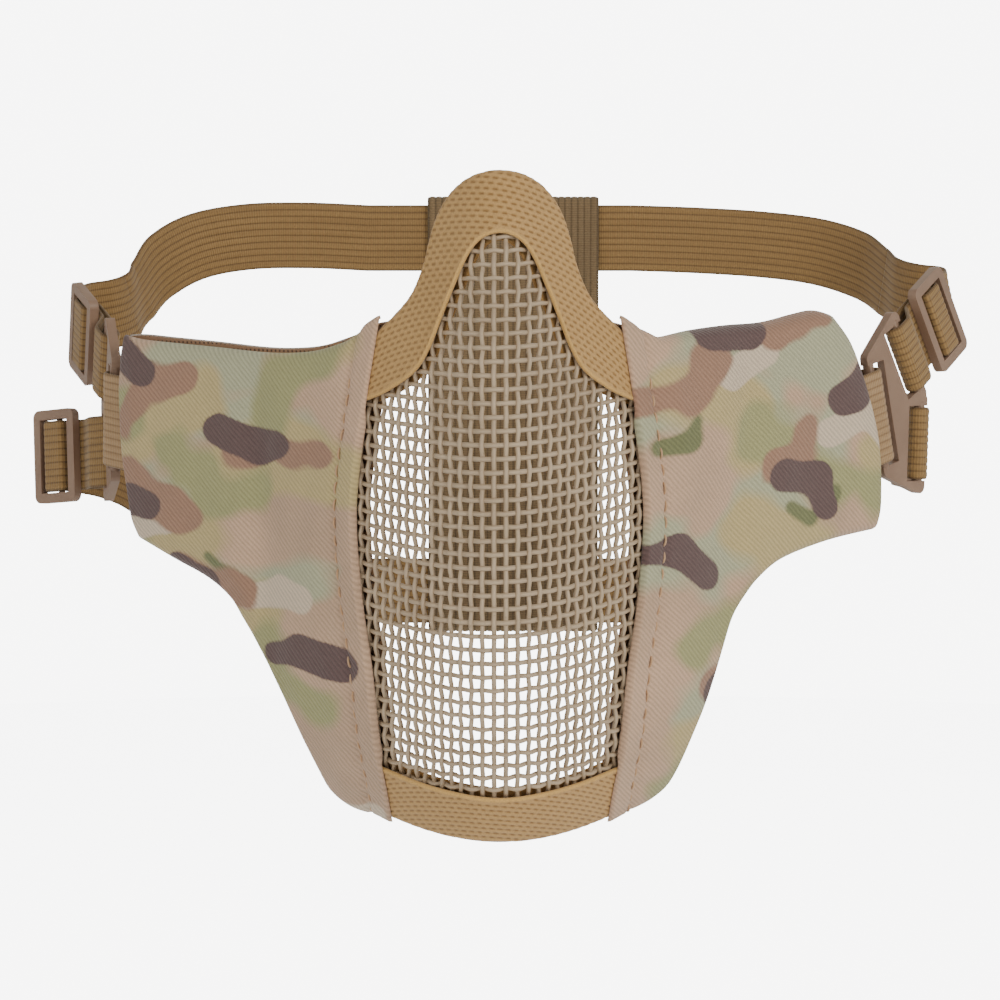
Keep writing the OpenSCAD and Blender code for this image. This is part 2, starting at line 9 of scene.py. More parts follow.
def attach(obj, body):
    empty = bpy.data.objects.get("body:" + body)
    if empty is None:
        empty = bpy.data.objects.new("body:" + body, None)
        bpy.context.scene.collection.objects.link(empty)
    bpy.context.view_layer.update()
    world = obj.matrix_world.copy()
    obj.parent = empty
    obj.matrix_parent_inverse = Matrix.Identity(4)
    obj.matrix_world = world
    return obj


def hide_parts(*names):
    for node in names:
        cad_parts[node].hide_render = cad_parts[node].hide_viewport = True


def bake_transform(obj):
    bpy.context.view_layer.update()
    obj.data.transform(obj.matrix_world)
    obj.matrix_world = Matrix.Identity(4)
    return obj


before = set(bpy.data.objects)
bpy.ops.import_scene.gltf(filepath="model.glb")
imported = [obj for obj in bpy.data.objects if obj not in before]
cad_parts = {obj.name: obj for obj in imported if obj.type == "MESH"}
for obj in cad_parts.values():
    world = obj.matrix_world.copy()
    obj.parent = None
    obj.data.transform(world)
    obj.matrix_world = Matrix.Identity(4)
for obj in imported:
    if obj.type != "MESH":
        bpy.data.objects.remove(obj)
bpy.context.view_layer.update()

# Lengths are in millimetres and angles in degrees until a mesh is made, as in the part's own source.
MM = 0.001
SIDES = {"right": 1, "left": -1}

# ---------------------------------------------------------------- sizes shared with the CAD part

LIP_DEPTH = 20
RIDGE_DEPTH = 12
FRONT_R, SIDE_SLOPE = 25, 0.85
SIDE_STEP, SIDE_STEP_W = 20, 40
TOP_BACK, BROW_Z, TOP_BACK_W = 40, 83, 55
CHIN_Z, CHIN_BACK, CHIN_H = -40, 24, 45
RIDGE_Z, RIDGE_H, RIDGE_W = -15, 75, 15

WINDOW_EDGE = [(26.5, -86), (27.5, -76), (29.5, -62), (31, -45), (33.5, -28), (35, -10), (34.5, 3),
               (32, 21), (28.6, 43.5)]
WING_TOP = {
    "left": [(28.6, 43.5), (33, 42.5), (38, 39.2), (43.5, 36.8), (50, 35.6), (60, 35.3), (75, 36.4),
             (87, 37.2), (96, 37.8), (101, 37.5)],
    "right": [(28.6, 43.5), (33, 42.2), (37, 39.9), (41, 38.7), (50, 40.2), (60, 41.2), (70, 41.7),
              (79, 43.6), (84.5, 44.5), (88.5, 43.5)]}
WING_BOTTOM = {
    "left": [(26.5, -86), (32, -86), (37, -84.7), (41.5, -82), (44.6, -78.7), (47.5, -72.8), (51.2, -65),
             (55, -57), (58, -51.2), (60.4, -46.8), (63.5, -41.8), (66.8, -36.9), (70.3, -32),
             (76.9, -27.3), (87.2, -22.9), (97.3, -18.3)],
    "right": [(26.5, -86), (32, -85), (38, -82.2), (42.8, -78.5), (46, -73), (49.3, -65), (52.7, -56.5),
              (55.3, -49), (57.9, -41.3), (60, -35.5), (63, -31), (67.3, -26.3), (74.5, -21.7),
              (88, -18), (102, -16)]}
WING_EDGE = {
    "left": [(97.3, -18.3), (99.7, -13), (101, -5.5), (102.5, 5), (103, 15), (103, 26), (101, 37.5)],
    "right": [(102, -16), (103.5, -10), (103.5, 0), (102.5, 10), (100, 20), (97, 29), (93.5, 37),
              (88.5, 43.5)]}
NOSE_OUTER = [(35, 33), (30.5, 39.5), (25, 45), (21, 50), (18, 57), (16.5, 63.5), (14.5, 69.8),
              (11, 75.3), (6, 78.9), (0, 80.1)]
NOSE_INNER = [(35, 21.5), (31, 23), (26, 25.5), (20, 30), (16.5, 35.5), (13.5, 43), (10.5, 50.5),
              (7, 58.5), (3.8, 62.5), (0, 63.8)]
CHIN_UPPER = [(33, -69), (28, -70.5), (20, -72.5), (11, -74), (0, -75)]
CHIN_LOWER = [(33, -83.5), (28, -85.5), (20, -87.5), (11, -88.8), (0, -89.3)]
PANEL_WIDTHS = [(-82, 32), (-76, 36), (-60, 38), (-40, 41), (-20, 43), (0, 43), (14, 41.5), (26, 36.5),
                (36, 29.5), (43, 24.5), (50, 19), (57, 15.8), (64, 14.2), (69, 12.2), (73, 9),
                (75.5, 5.5), (77, 2)]
PANEL_DROP = 3

STRAP_W, STRAP_T = 20, 1.1
BAR_R, BAR_TILT, BAR_OUT, BAR_UP = 1.5, 16, 15.5, 12.5
SLIDER_AT, SLIDER_HALF = 20, 8
SLIDER_LOW, SLIDER_BAR_R, SLIDER_BAR_H = -1.1, 0.9, -1.3
BUCKLES = {
    "right": {"at": (103.1, 72.2, 15.2), "turn": 42, "roll": 14, "swing": {"upper": 8, "lower": 53}},
    "left": {"at": (106, 75, 14.2), "turn": 75, "roll": 8, "swing": {"upper": -13, "lower": -38}}}
TAB_TURN, TAB_W, TAB_T, TAB_LOOP_R, TAB_LEAF = 41, 26, 1.2, 2.1, 17
ROUTES = {
    ("right", "upper"): [(129, 107.3, 45), (126, 112.7, 45.8), (120, 116.3, 46.5), (115.5, 123, 48),
                         (113, 133, 51), (107.5, 145, 55.8), (96, 154, 59.8), (80, 159, 62),
                         (60, 162, 63.3)],
    ("left", "upper"): [(122, 118.5, 40.2), (118.8, 124, 41), (112.5, 127.2, 42), (108.5, 132.5, 44),
                        (106, 139.5, 48.5), (101, 147.5, 55.8), (91, 155, 61.6), (76, 159.5, 64.4),
                        (58, 162, 64.8)],
    ("right", "lower"): [(112.8, 121, 7.5), (110.8, 128, 6), (106.5, 138, 1), (98, 148, -8),
                         (83, 156, -21), (62, 161, -34.5)],
    ("left", "lower"): [(134, 116, 1.2), (130.5, 121, 0.6), (123, 124, -0.5), (114, 128.5, -3),
                        (106, 135.5, -8), (96.5, 145.5, -18), (82, 155, -29), (62, 161, -39)]}
# Where each band's stretch that follows the wing ends, as a point of its route
SEAM_POINT = {("right", "upper"): 4, ("left", "upper"): 3, ("right", "lower"): 2, ("left", "lower"): 4}
REAR_Z = {"upper": 64, "lower": -44}
REAR_Y, STRAIGHT_REAR = 163, 40
CONNECTOR_X, CONNECTOR_W, CONNECTOR_T, SLEEVE_GAP = 4, 52, 1.5, 0.45
FOLD_OFF, SLEEVE_H = STRAP_W / 2 + 0.2, STRAP_W + 4.5

# ---------------------------------------------------------------- small geometry functions


def unit(v):
    return v / np.linalg.norm(v, axis=-1, keepdims=True)


def ramp(f):
    c = np.clip(f, 0, 1)
    return c * c * (3 - 2 * c)


def mix(a, b, f):
    return a + (b - a) * f


def bell(x, width):
    return np.exp(-(x / width) ** 2)


def curve(points, t):
    """Smooth curve through given points, at shares t of its points."""
    p = np.asarray(points, float)
    n = len(p) - 1
    u = np.clip(t, 0, 1) * n
    i = np.minimum(u.astype(int), n - 1)
    f = (u - i)[:, None]
    a, b, c, d = p[np.maximum(i - 1, 0)], p[i], p[i + 1], p[np.minimum(i + 2, n)]
    return 0.5 * (2 * b + (c - a) * f + (2 * a - 5 * b + 4 * c - d) * f ** 2
                  + (3 * b - a - 3 * c + d) * f ** 3)


def lengths(points):
    """Distance along a line of points, from its start."""
    return np.concatenate([[0], np.cumsum(np.linalg.norm(np.diff(points, axis=0), axis=1))])


def resample(points, step):
    """The same line with points about step apart."""
    run = lengths(points)
    at = np.linspace(0, run[-1], max(2, round(run[-1] / step) + 1))
    return np.stack([np.interp(at, run, points[:, k]) for k in range(points.shape[1])], axis=1)


def face_y(x, z):
    sweep = SIDE_SLOPE * (np.sqrt(x * x + FRONT_R ** 2) - FRONT_R) + SIDE_STEP * (1 - bell(x, SIDE_STEP_W))
    top = TOP_BACK * (np.maximum(z, 0) / BROW_Z) ** 1.5 * bell(x, TOP_BACK_W)
    chin = CHIN_BACK * (np.maximum(CHIN_Z - z, 0) / CHIN_H) ** 2
    ridge = RIDGE_DEPTH * ramp((z - RIDGE_Z) / RIDGE_H) * bell(x, RIDGE_W)
    return sweep + top + chin - ridge - LIP_DEPTH


def face_normal(x, z):
    return unit(np.stack([face_y(x + 0.5, z) - face_y(x - 0.5, z), -np.ones_like(x),
                          face_y(x, z + 0.5) - face_y(x, z - 0.5)], axis=-1))


def on_face(p, h):
    """Points of space at height h over places p of the face, given in the front view."""
    x, z = p[..., 0], p[..., 1]
    return np.stack([x, face_y(x, z), z], axis=-1) + np.asarray(h)[..., None] * face_normal(x, z)


ARC_X = np.arange(0, 140, 0.1)
ARC_RUN = lengths(np.stack([ARC_X, face_y(ARC_X, 0 * ARC_X)], axis=1))


def arc(x):
    """Length of cloth from the middle of the face out to x."""
    return np.sign(x) * np.interp(np.abs(x), ARC_X, ARC_RUN)


def to_line(points, line):
    """Distance from each point to a line through points."""
    best = np.full(len(points), 1e9)
    for a, b in zip(line[:-1], line[1:]):
        t = np.clip((points - a) @ (b - a) / max((b - a) @ (b - a), 1e-9), 0, 1)
        best = np.minimum(best, np.linalg.norm(points - a - t[:, None] * (b - a), axis=1))
    return best


def wavy(p, scale, seed):
    """Smooth noise from -1 to 1 at places p, with bumps about as wide as scale."""
    return np.array([noise.noise(Vector((a / scale, b / scale, seed))) for a, b in p]) * 1.6


# ---------------------------------------------------------------- meshes


def make_piece(name, points, faces, material, uv=None, fields=None):
    """A mesh piece from points in millimetres, with a UV map in metres and point fields."""
    mesh = bpy.data.meshes.new(name)
    mesh.from_pydata((np.asarray(points) * MM).tolist(), [], faces)
    mesh.polygons.foreach_set("use_smooth", [True] * len(mesh.polygons))
    if uv is not None:
        corner = np.zeros(len(mesh.loops), int)
        mesh.loops.foreach_get("vertex_index", corner)
        mesh.uv_layers.new(name="UVMap").data.foreach_set("uv", (np.asarray(uv) * MM)[corner].ravel())
    for field, values in (fields or {}).items():
        mesh.attributes.new(field, "FLOAT", "POINT").data.foreach_set("value", np.asarray(values, float))
    mesh.materials.append(material)
    piece = bpy.data.objects.new(name, mesh)
    bpy.context.scene.collection.objects.link(piece)
    return piece


def grid_faces(rows, cols, closed=False, first=0):
    """Quads of a grid of points. A closed grid joins its last column to its first."""
    r = np.arange(rows - 1)[:, None] * cols
    c = np.arange(cols if closed else cols - 1)[None, :]
    d = (c + 1) % cols
    a = np.stack([r + c, r + d, r + cols + d, r + cols + c], axis=-1).reshape(-1, 4) + first
    return a.tolist()


def tube_parts(lines, normals, radius, sides):
    """Points and faces of round rods with closed ends, one along each line."""
    points, faces, count = [], [], 0
    turn = np.arange(sides) * 2 * math.pi / sides
    for line, normal in zip(lines, normals):
        along = unit(np.gradient(line, axis=0))
        across = unit(np.cross(along, normal))
        up = np.cross(across, along)
        ring = (line[:, None] + radius * (np.cos(turn)[None, :, None] * across[:, None]
                                          + np.sin(turn)[None, :, None] * up[:, None]))
        rows = len(line)
        points.append(ring.reshape(-1, 3))
        faces += [f[::-1] for f in grid_faces(rows, sides, True, count)]
        faces.append(list(range(count, count + sides)))
        faces.append(list(range(count + rows * sides - 1, count + (rows - 1) * sides - 1, -1)))
        count += rows * sides
    return np.concatenate(points), faces


def ribbon(name, line, across, width, thick, material, ribs=10, groove=0.16, per_rib=6):
    """Closed band of webbing with ribs along it. line is its middle and across the way of its width."""
    line, across = np.asarray(line, float), unit(np.asarray(across, float))
    along = unit(np.gradient(line, axis=0))
    out = unit(np.cross(across, along))
    edge = thick * 0.35
    w = np.linspace(-1, 1, ribs * per_rib + 1)
    half = thick / 2 - groove * bell(np.abs((w * ribs / 2 + 0.5 * (ribs % 2)) % 1 - 0.5) - 0.5, 0.17)
    w = w * (width / 2 - edge)
    turn = np.radians(np.linspace(60, -60, 4))
    w_all = np.concatenate([w, width / 2 - edge + edge * np.cos(turn), w[::-1],
                            -width / 2 + edge - edge * np.cos(turn)])
    h_all = np.concatenate([half, edge * np.sin(turn), -half[::-1], -edge * np.sin(turn)])
    relief = np.concatenate([half, half[-1] + 0 * turn, half[::-1], half[0] + 0 * turn])
    relief = (relief - relief.min()) / (relief.max() - relief.min() + 1e-9)
    rows, cols = len(line), len(w_all)
    points = (line[:, None] + w_all[None, :, None] * across[:, None] + h_all[None, :, None] * out[:, None])
    run = lengths(line)
    uv = np.stack([np.repeat(run, cols), np.tile(w_all, rows)], axis=1)
    faces = grid_faces(rows, cols, True)
    faces.append(list(range(cols))[::-1])
    faces.append(list(range((rows - 1) * cols, rows * cols)))
    return make_piece(name, points.reshape(-1, 3), faces, material, uv, {"relief": np.tile(relief, rows)})


def keep_outward(piece):
    """Turns the piece's faces to point out of it."""
    bm = bmesh.new()
    bm.from_mesh(piece.data)
    bmesh.ops.recalc_face_normals(bm, faces=bm.faces)
    bm.to_mesh(piece.data)
    bm.free()


# ---------------------------------------------------------------- materials


def tint(r, g, b):
    """A colour given as on a screen, 0 to 255, as linear light."""
    shares = [c / 255 / 12.92 if c < 10 else ((c / 255 + 0.055) / 1.055) ** 2.4 for c in (r, g, b)]
    return (*shares, 1)


class Look:
    """Builds one node material."""

    def __init__(self, name):
        self.material = bpy.data.materials.new(name)
        self.material.use_nodes = True
        self.tree = self.material.node_tree
        self.tree.nodes.clear()
        self.shader = self.node("ShaderNodeBsdfPrincipled")
        out = self.node("ShaderNodeOutputMaterial")
        self.tree.links.new(self.shader.outputs[0], out.inputs[0])

    def node(self, kind, inputs=None, **settings):
        n = self.tree.nodes.new(kind)
        for key, value in settings.items():
            setattr(n, key, value)
        for key, value in (inputs or {}).items():
            self.put(n.inputs[key], value)
        return n

    def put(self, socket, value):
        if isinstance(value, bpy.types.NodeSocket):
            self.tree.links.new(value, socket)
        else:
            socket.default_value = value

    def sets(self, **inputs):
        for key, value in inputs.items():
            self.put(self.shader.inputs[key.replace("_", " ")], value)

    def sum(self, kind, a, b=0.0, c=0.0):
        return self.node("ShaderNodeMath", {0: a, 1: b, 2: c}, operation=kind).outputs[0]

    def mix(self, share, a, b):
        n = self.node("ShaderNodeMix", data_type="RGBA")
        self.put(n.inputs["Factor"], share)
        self.put(n.inputs[6], a)
        self.put(n.inputs[7], b)
        return n.outputs[2]

    def shade(self, colour, amount):
        """The colour made lighter or darker by amount, where 1 leaves it as it is."""
        n = self.node("ShaderNodeHueSaturation", {"Color": colour, "Value": amount})
        return n.outputs[0]

    def field(self, name):
        return self.node("ShaderNodeAttribute", attribute_name=name).outputs["Fac"]

    def place(self, uv=False):
        n = self.node("ShaderNodeTexCoord")
        return n.outputs["UV" if uv else "Object"]

    def noise(self, scale, detail=3.0, where=None, stretch=(1, 1, 1)):
        where = where or self.place()
        moved = self.node("ShaderNodeMapping", {"Vector": where, "Scale": stretch}).outputs[0]
        return self.node("ShaderNodeTexNoise", {"Vector": moved, "Scale": scale, "Detail": detail}).outputs[0]

    def lines(self, pitch, angle, where, bend=0.0):
        """Even lines across the UV map, pitch metres apart, turned by angle."""
        turned = self.node("ShaderNodeMapping", {"Vector": where, "Rotation": (0, 0, math.radians(angle))})
        return self.node("ShaderNodeTexWave", {"Vector": turned.outputs[0], "Scale": math.pi / 10 / pitch,
                                               "Distortion": bend, "Detail Scale": 2.0},
                         wave_profile="SIN", bands_direction="X").outputs["Fac"]

    def range(self, value, low, high, to_low, to_high):
        return self.node("ShaderNodeMapRange", {"Value": value, "From Min": low, "From Max": high,
                                                "To Min": to_low, "To Max": to_high}).outputs[0]

    def bump(self, height, distance, strength=1.0, under=None):
        n = self.node("ShaderNodeBump", {"Height": height, "Distance": distance, "Strength": strength})
        if under is not None:
            self.put(n.inputs["Normal"], under)
        return n.outputs[0]


def painted_wire():
    look = Look("painted_wire")
    worn = look.noise(900, 4)
    colour = look.mix(look.range(look.noise(60), 0.35, 0.7, 0, 1), tint(174, 154, 130), tint(190, 170, 145))
    colour = look.mix(look.range(worn, 0.62, 0.72, 0, 0.35), colour, tint(120, 105, 85))
    look.sets(Base_Color=colour, Roughness=look.range(worn, 0.3, 0.7, 0.38, 0.6),
              Normal=look.bump(worn, 0.00008, 0.5))
    return look.material


def tan_webbing():
    look = Look("tan_webbing")
    relief = look.field("relief")
    fine = look.noise(2500, 3)
    base = look.mix(look.noise(35), tint(184, 145, 92), tint(196, 158, 104))
    # Painted shade: where the relief is low, in the webbing's grooves, the colour is darkened towards a dark
    # brown.
    colour = look.mix(look.range(relief, 0.1, 0.9, 1, 0), base, tint(134, 100, 56))
    colour = look.mix(look.range(relief, 1.1, 1.2, 0, 1), colour, tint(204, 164, 100))
    colour = look.shade(colour, look.range(fine, 0.3, 0.7, 0.86, 1.14))
    look.sets(Base_Color=colour, Roughness=0.82, Sheen_Weight=0.25, Sheen_Roughness=0.4,
              Normal=look.bump(fine, 0.00012, 0.6))
    return look.material


def printed_twill():
    """Cotton twill with a soft woodland print: the print's areas come as point fields."""
    look = Look("printed_twill")
    uv = look.place(uv=True)
    fuzz = look.sum("MULTIPLY", look.sum("SUBTRACT", look.noise(1400, 4), 0.5), 0.7)
    colour = look.mix(look.range(look.noise(26, 2), 0.35, 0.65, 0, 1), tint(200, 167, 142),
                      tint(182, 153, 130))
    # Each area's colour and how softly its edge runs out, in millimetres
    areas = [("sage", tint(172, 172, 144), 2.2), ("khaki", tint(186, 168, 122), 1.6),
             ("olive", tint(158, 156, 112), 1.6), ("green", tint(114, 118, 82), 0.6),
             ("pale", tint(206, 188, 168), 0.35), ("brown", tint(156, 121, 102), 0.6),
             ("purple", tint(96, 76, 76), 0.3)]
    for name, shade, soft in areas:
        edge = look.sum("ADD", look.field(name), fuzz)
        colour = look.mix(look.range(edge, -soft, soft, 0, 1), colour, shade)
    ribs = look.lines(0.0011, -50, uv, 0.5)
    cross = look.lines(0.0006, 40, uv, 0.4)
    colour = look.shade(colour, look.range(ribs, 0, 1, 0.83, 1.11))
    colour = look.shade(colour, look.range(look.noise(2600, 2), 0.3, 0.7, 0.92, 1.08))
    weave = look.sum("ADD", ribs, look.sum("MULTIPLY", cross, 0.25))
    normal = look.bump(weave, 0.00012, 0.75)
    look.sets(Base_Color=colour, Roughness=0.88, Sheen_Weight=0.2, Sheen_Roughness=0.5, Normal=normal)
    return look.material


def brown_lining():
    look = Look("brown_lining")
    uv = look.place(uv=True)
    a, b = look.lines(0.0016, 0, uv, 0.3), look.lines(0.0016, 90, uv, 0.3)
    pores = look.sum("MULTIPLY", a, b)
    base = look.mix(look.noise(40), tint(138, 104, 76), tint(152, 116, 86))
    colour = look.mix(look.range(pores, 0.45, 0.75, 0, 1), base, tint(84, 60, 42))
    look.sets(Base_Color=look.shade(colour, look.range(look.noise(3000), 0.3, 0.7, 0.88, 1.12)),
              Roughness=0.85, Sheen_Weight=0.3, Normal=look.bump(pores, 0.0003, -0.8))
    return look.material


def grey_foam():
    look = Look("grey_foam")
    cells = look.node("ShaderNodeTexVoronoi", {"Vector": look.place(), "Scale": 1300.0}).outputs["Distance"]
    colour = look.mix(look.range(cells, 0.1, 0.6, 0, 1), tint(52, 50, 47), tint(96, 93, 88))
    look.sets(Base_Color=colour, Roughness=0.95, Normal=look.bump(cells, 0.0004, 0.8))
    return look.material


def sewing_thread(name, colour_a, colour_b):
    look = Look(name)
    twist = look.noise(4000, 2, stretch=(1, 1, 0.4))
    look.sets(Base_Color=look.mix(twist, colour_a, colour_b), Roughness=0.6, Sheen_Weight=0.3,
              Normal=look.bump(twist, 0.0001, 0.7))
    return look.material


def taupe_plastic():
    look = Look("taupe_plastic")
    grain = look.noise(3500, 3)
    patch = look.noise(70, 3)
    colour = look.mix(look.range(patch, 0.3, 0.7, 0, 1), tint(134, 108, 92), tint(146, 120, 103))
    colour = look.shade(colour, look.range(grain, 0.3, 0.7, 0.97, 1.03))
    look.sets(Base_Color=colour, Roughness=look.range(patch, 0.3, 0.7, 0.42, 0.55),
              Normal=look.bump(grain, 0.00004, 0.6))
    return look.material


def ribbed_elastic(name, light, dark, groove):
    """Elastic webbing: ribs along it come with the mesh, fine picks run across it."""
    look = Look(name)
    uv = look.place(uv=True)
    picks = look.lines(0.0007, 0, uv, 0.5)
    relief = look.field("relief")
    streak = look.noise(120, 2, uv, (0.25, 6, 1))
    colour = look.mix(look.range(streak, 0.3, 0.7, 0, 1), dark, light)
    # Painted shade: where the relief is low, in the grooves between the ribs, the colour turns to the darker
    # groove colour.
    colour = look.mix(look.range(relief, 0.05, 0.75, 1, 0), colour, groove)
    colour = look.shade(colour, look.range(picks, 0, 1, 0.86, 1.08))
    fine = look.noise(3000, 2)
    look.sets(Base_Color=look.shade(colour, look.range(fine, 0.3, 0.7, 0.92, 1.08)), Roughness=0.75,
              Sheen_Weight=0.2, Normal=look.bump(picks, 0.00014, 0.6))
    return look.material


LOOKS = {
    "wire": painted_wire(), "webbing": tan_webbing(), "camo": printed_twill(), "lining": brown_lining(),
    "foam": grey_foam(), "plastic": taupe_plastic(),
    "thread": sewing_thread("sewing_thread", tint(206, 168, 132), tint(170, 132, 98)),
    "brown_thread": sewing_thread("brown_thread", tint(120, 96, 66), tint(92, 72, 48)),
    # The third colour of each elastic is painted shade for its grooves.
    "elastic": ribbed_elastic("ribbed_elastic", tint(150, 118, 72), tint(138, 107, 64), tint(108, 82, 47)),
    "tab": ribbed_elastic("tab_webbing", tint(172, 140, 104), tint(160, 128, 92), tint(132, 104, 70)),
    "connector": ribbed_elastic("connector_elastic", tint(126, 104, 74), tint(114, 94, 66),
                                tint(92, 75, 50))}

# ---------------------------------------------------------------- woven wire panel

UPRIGHT_PITCH, CROSS_PITCH, WIRE_R, WEAVE = 2.93, 3.35, 0.6, 0.36


def panel_low(x):
    """Lowest place of the wire panel at x."""
    x = abs(x)
    low_z, low_w = zip(*[p for p in PANEL_WIDTHS if p[0] <= -20])
    if x <= low_w[0]:
        return low_z[0] - PANEL_DROP * (1 - (x / low_w[0]) ** 2)
    return float(np.interp(x, low_w, low_z))


def panel_high(x):
    high = [p for p in PANEL_WIDTHS if p[0] >= 0][::-1]
    return float(np.interp(abs(x), [p[1] for p in high], [p[0] for p in high]))


def panel_reach(z):
    """Half width of the wire panel at z."""
    if z >= PANEL_WIDTHS[0][0]:
        return float(np.interp(z, [p[0] for p in PANEL_WIDTHS], [p[1] for p in PANEL_WIDTHS]))
    return PANEL_WIDTHS[0][1] * math.sqrt(max(0, 1 - (PANEL_WIDTHS[0][0] - z) / PANEL_DROP))


def sag(x):
    """How much higher a cross wire lies at x than in the middle: the panel was formed a little askew."""
    return 0.0025 * x * x + 0.03 * x


def runs(inside):
    """The stretches of neighbouring places that are all inside."""
    kept = np.flatnonzero(inside)
    return [r for r in np.split(kept, np.flatnonzero(np.diff(kept) > 1) + 1) if len(r) > 5]


def woven_wires():
    """Plain weave: each wire passes over and under the ones that cross it."""
    uprights, crossers = ([], []), ([], [])
    widest = max(p[1] for p in PANEL_WIDTHS)
    count = int(arc(widest) / UPRIGHT_PITCH - 0.5)
    for k in range(-count - 1, count + 1):
        x = np.interp(abs(k + 0.5) * UPRIGHT_PITCH, ARC_RUN, ARC_X) * (1 if k >= 0 else -1)
        low, high = panel_low(x), panel_high(x)
        if high - low < 2 * CROSS_PITCH:
            continue
        z = np.arange(low, high, CROSS_PITCH / 4)
        p = np.stack([x + 0 * z, z], axis=1)
        height = WEAVE * np.cos(math.pi * (z - sag(x)) / CROSS_PITCH) * (-1) ** k
        uprights[0].append(on_face(p, height))
        uprights[1].append(face_normal(p[:, 0], p[:, 1]))
    u = np.arange(-count - 1, count + 1, 0.25) * UPRIGHT_PITCH
    x = np.sign(u) * np.interp(np.abs(u), ARC_RUN, ARC_X)
    lowest = np.array([panel_low(a) for a in x])
    for j in range(int(-90 / CROSS_PITCH), int(77 / CROSS_PITCH) + 1):
        z = j * CROSS_PITCH + sag(x)
        inside = (np.abs(x) <= [panel_reach(a) for a in z]) & (z >= lowest)
        for r in runs(inside):
            p = np.stack([x[r], z[r]], axis=1)
            height = -WEAVE * np.cos(math.pi * (u[r] / UPRIGHT_PITCH - 0.5)) * (-1) ** j
            crossers[0].append(on_face(p, height))
            crossers[1].append(face_normal(p[:, 0], p[:, 1]))
    for name, (lines, normals) in (("upright_wires", uprights), ("cross_wires", crossers)):
        points, faces = tube_parts(lines, normals, WIRE_R, 6)
        piece = make_piece(name, points, faces, LOOKS["wire"])
        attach(piece, "mask")
        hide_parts("mesh_panel")


# ---------------------------------------------------------------- webbing folded over the panel's edges

BIND_MID, BIND_T = 1.7, 1.0


def basket_relief(x, z, lean, curl):
    """Height of a broken-rib webbing, 0 in its grooves and 1 on its ribs."""
    row_pitch, dash = 1.4, 1.9
    rows = (z - lean * x - curl * x * x) / row_pitch
    at = x * (1 + 0.1 * np.abs(lean + 2 * curl * x)) / dash
    near = np.round(rows)
    broken = 0.5 + 0.5 * np.cos(2 * math.pi * (at + 0.5 * near))
    return 1 - bell(rows - near, 0.24) * (0.3 + 0.7 * ramp(broken * 1.5 - 0.1))


def folded_binding(name, free_edge, turned_edge, steps, lean, curl, node):
    """Webbing folded round the edge of the wire panel, with a thicker selvedge along its free front edge."""
    def whole(edge):
        return edge + [(-x, z) for x, z in edge[::-1] if x > 0]
    share = np.linspace(0, 1, steps + 1)
    free, turned = curve(whole(free_edge), share), curve(whole(turned_edge), share)
    leaf = np.linalg.norm(on_face(free, 0 * share) - on_face(turned, 0 * share), axis=1)
    thick = BIND_T / 2
    bead = 0.75
    lead_turn = np.radians(np.linspace(-90, 90, 7)[:-1])
    outer_turn = np.radians(np.linspace(90, -90, 9)[1:-1])
    flat = np.linspace(0, 1, 44)
    # Section as [share of the leaf, millimetres past that share, height], clockwise from the free edge
    section = [(0.0, bead - bead * math.cos(t), BIND_MID + 0.1 + bead * math.sin(t)) for t in lead_turn]
    section += [(f, (1 - f) * 1.5 - f * 2.2, BIND_MID + thick) for f in flat]
    section += [(1.0, -2.2 + 2.2 * math.cos(t), 2.2 * math.sin(t)) for t in outer_turn]
    section += [(1 - f, -(1 - f) * 2.2 + f * 0.5, -BIND_MID - thick) for f in flat]
    section += [(0.0, 0.5 - thick * math.sin(math.radians(t)), -BIND_MID - thick * math.cos(math.radians(t)))
                for t in (45, 90, 135)]
    section += [(f, (1 - f) * 0.5 - f * 2.2, -BIND_MID + thick) for f in np.linspace(0, 1, 6)]
    section += [(1.0, -2.2 + 1.2 * math.cos(t), 1.2 * math.sin(t)) for t in -outer_turn]
    section += [(1 - f, -(1 - f) * 2.2 + f * 1.0, BIND_MID - thick) for f in np.linspace(0, 1, 6)]
    part, past, height = (np.array(s) for s in zip(*section))
    away = part[None, :] + past[None, :] / leaf[:, None]
    place = free[:, None] + (turned - free)[:, None] * away[:, :, None]
    relief = basket_relief(place[..., 0], place[..., 1], lean, curl)
    worked = np.zeros(len(part))
    worked[len(lead_turn):len(lead_turn) + 2 * len(flat) + len(outer_turn)] = 1
    relief = 1 - (1 - relief) * worked[None, :]
    sign = np.where(height > 0, 1, -1)
    lifted = height[None, :] - sign[None, :] * 0.18 * (1 - relief)
    points = on_face(place, lifted)
    rows, cols = points.shape[:2]
    faces = [f[::-1] for f in grid_faces(rows, cols, True)]
    faces += [list(range(cols)), list(range((rows - 1) * cols, rows * cols))[::-1]]
    relief[:, :len(lead_turn)] = 1.25
    piece = make_piece(name, points.reshape(-1, 3), faces, LOOKS["webbing"],
                       np.stack([place[..., 0].ravel(), place[..., 1].ravel()], axis=1),
                       {"relief": relief.ravel()})
    keep_outward(piece)
    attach(piece, "mask")
    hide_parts(node)


# ---------------------------------------------------------------- padded cloth wings

HEM = 7
COVER_T, LINING_T = 0.9, 0.8
COVER_H, LINING_H, SEAM_H = 3.5, -8.0, -2.4
# How wide the cloth's edge is rolled at the window and along the other edges
WINDOW_ROLL, RIM_ROLL = 0.9, 3.4
# Roughly how far a wing reaches along its grid, which turns those widths into shares
WING_SPAN = 100
# How far the cover lies inside the outline along the left wing's top, where the lining shows above it
LINING_SHOWS = 1.5
COLS, ROWS = 100, 116


def share_out(count, start, end, steps=8):
    """Shares across a wing, closer together over the rolled edges, which are start and end wide."""
    turn = 1 - np.cos(np.linspace(0, math.pi / 2, steps + 1))
    inner = np.linspace(start, 1 - end, count - 2 * steps + 1)
    return np.concatenate([start * turn[:-1], inner, 1 - end * turn[:-1][::-1]])


def on_base(p):
    return on_face(p, np.zeros(len(p)))


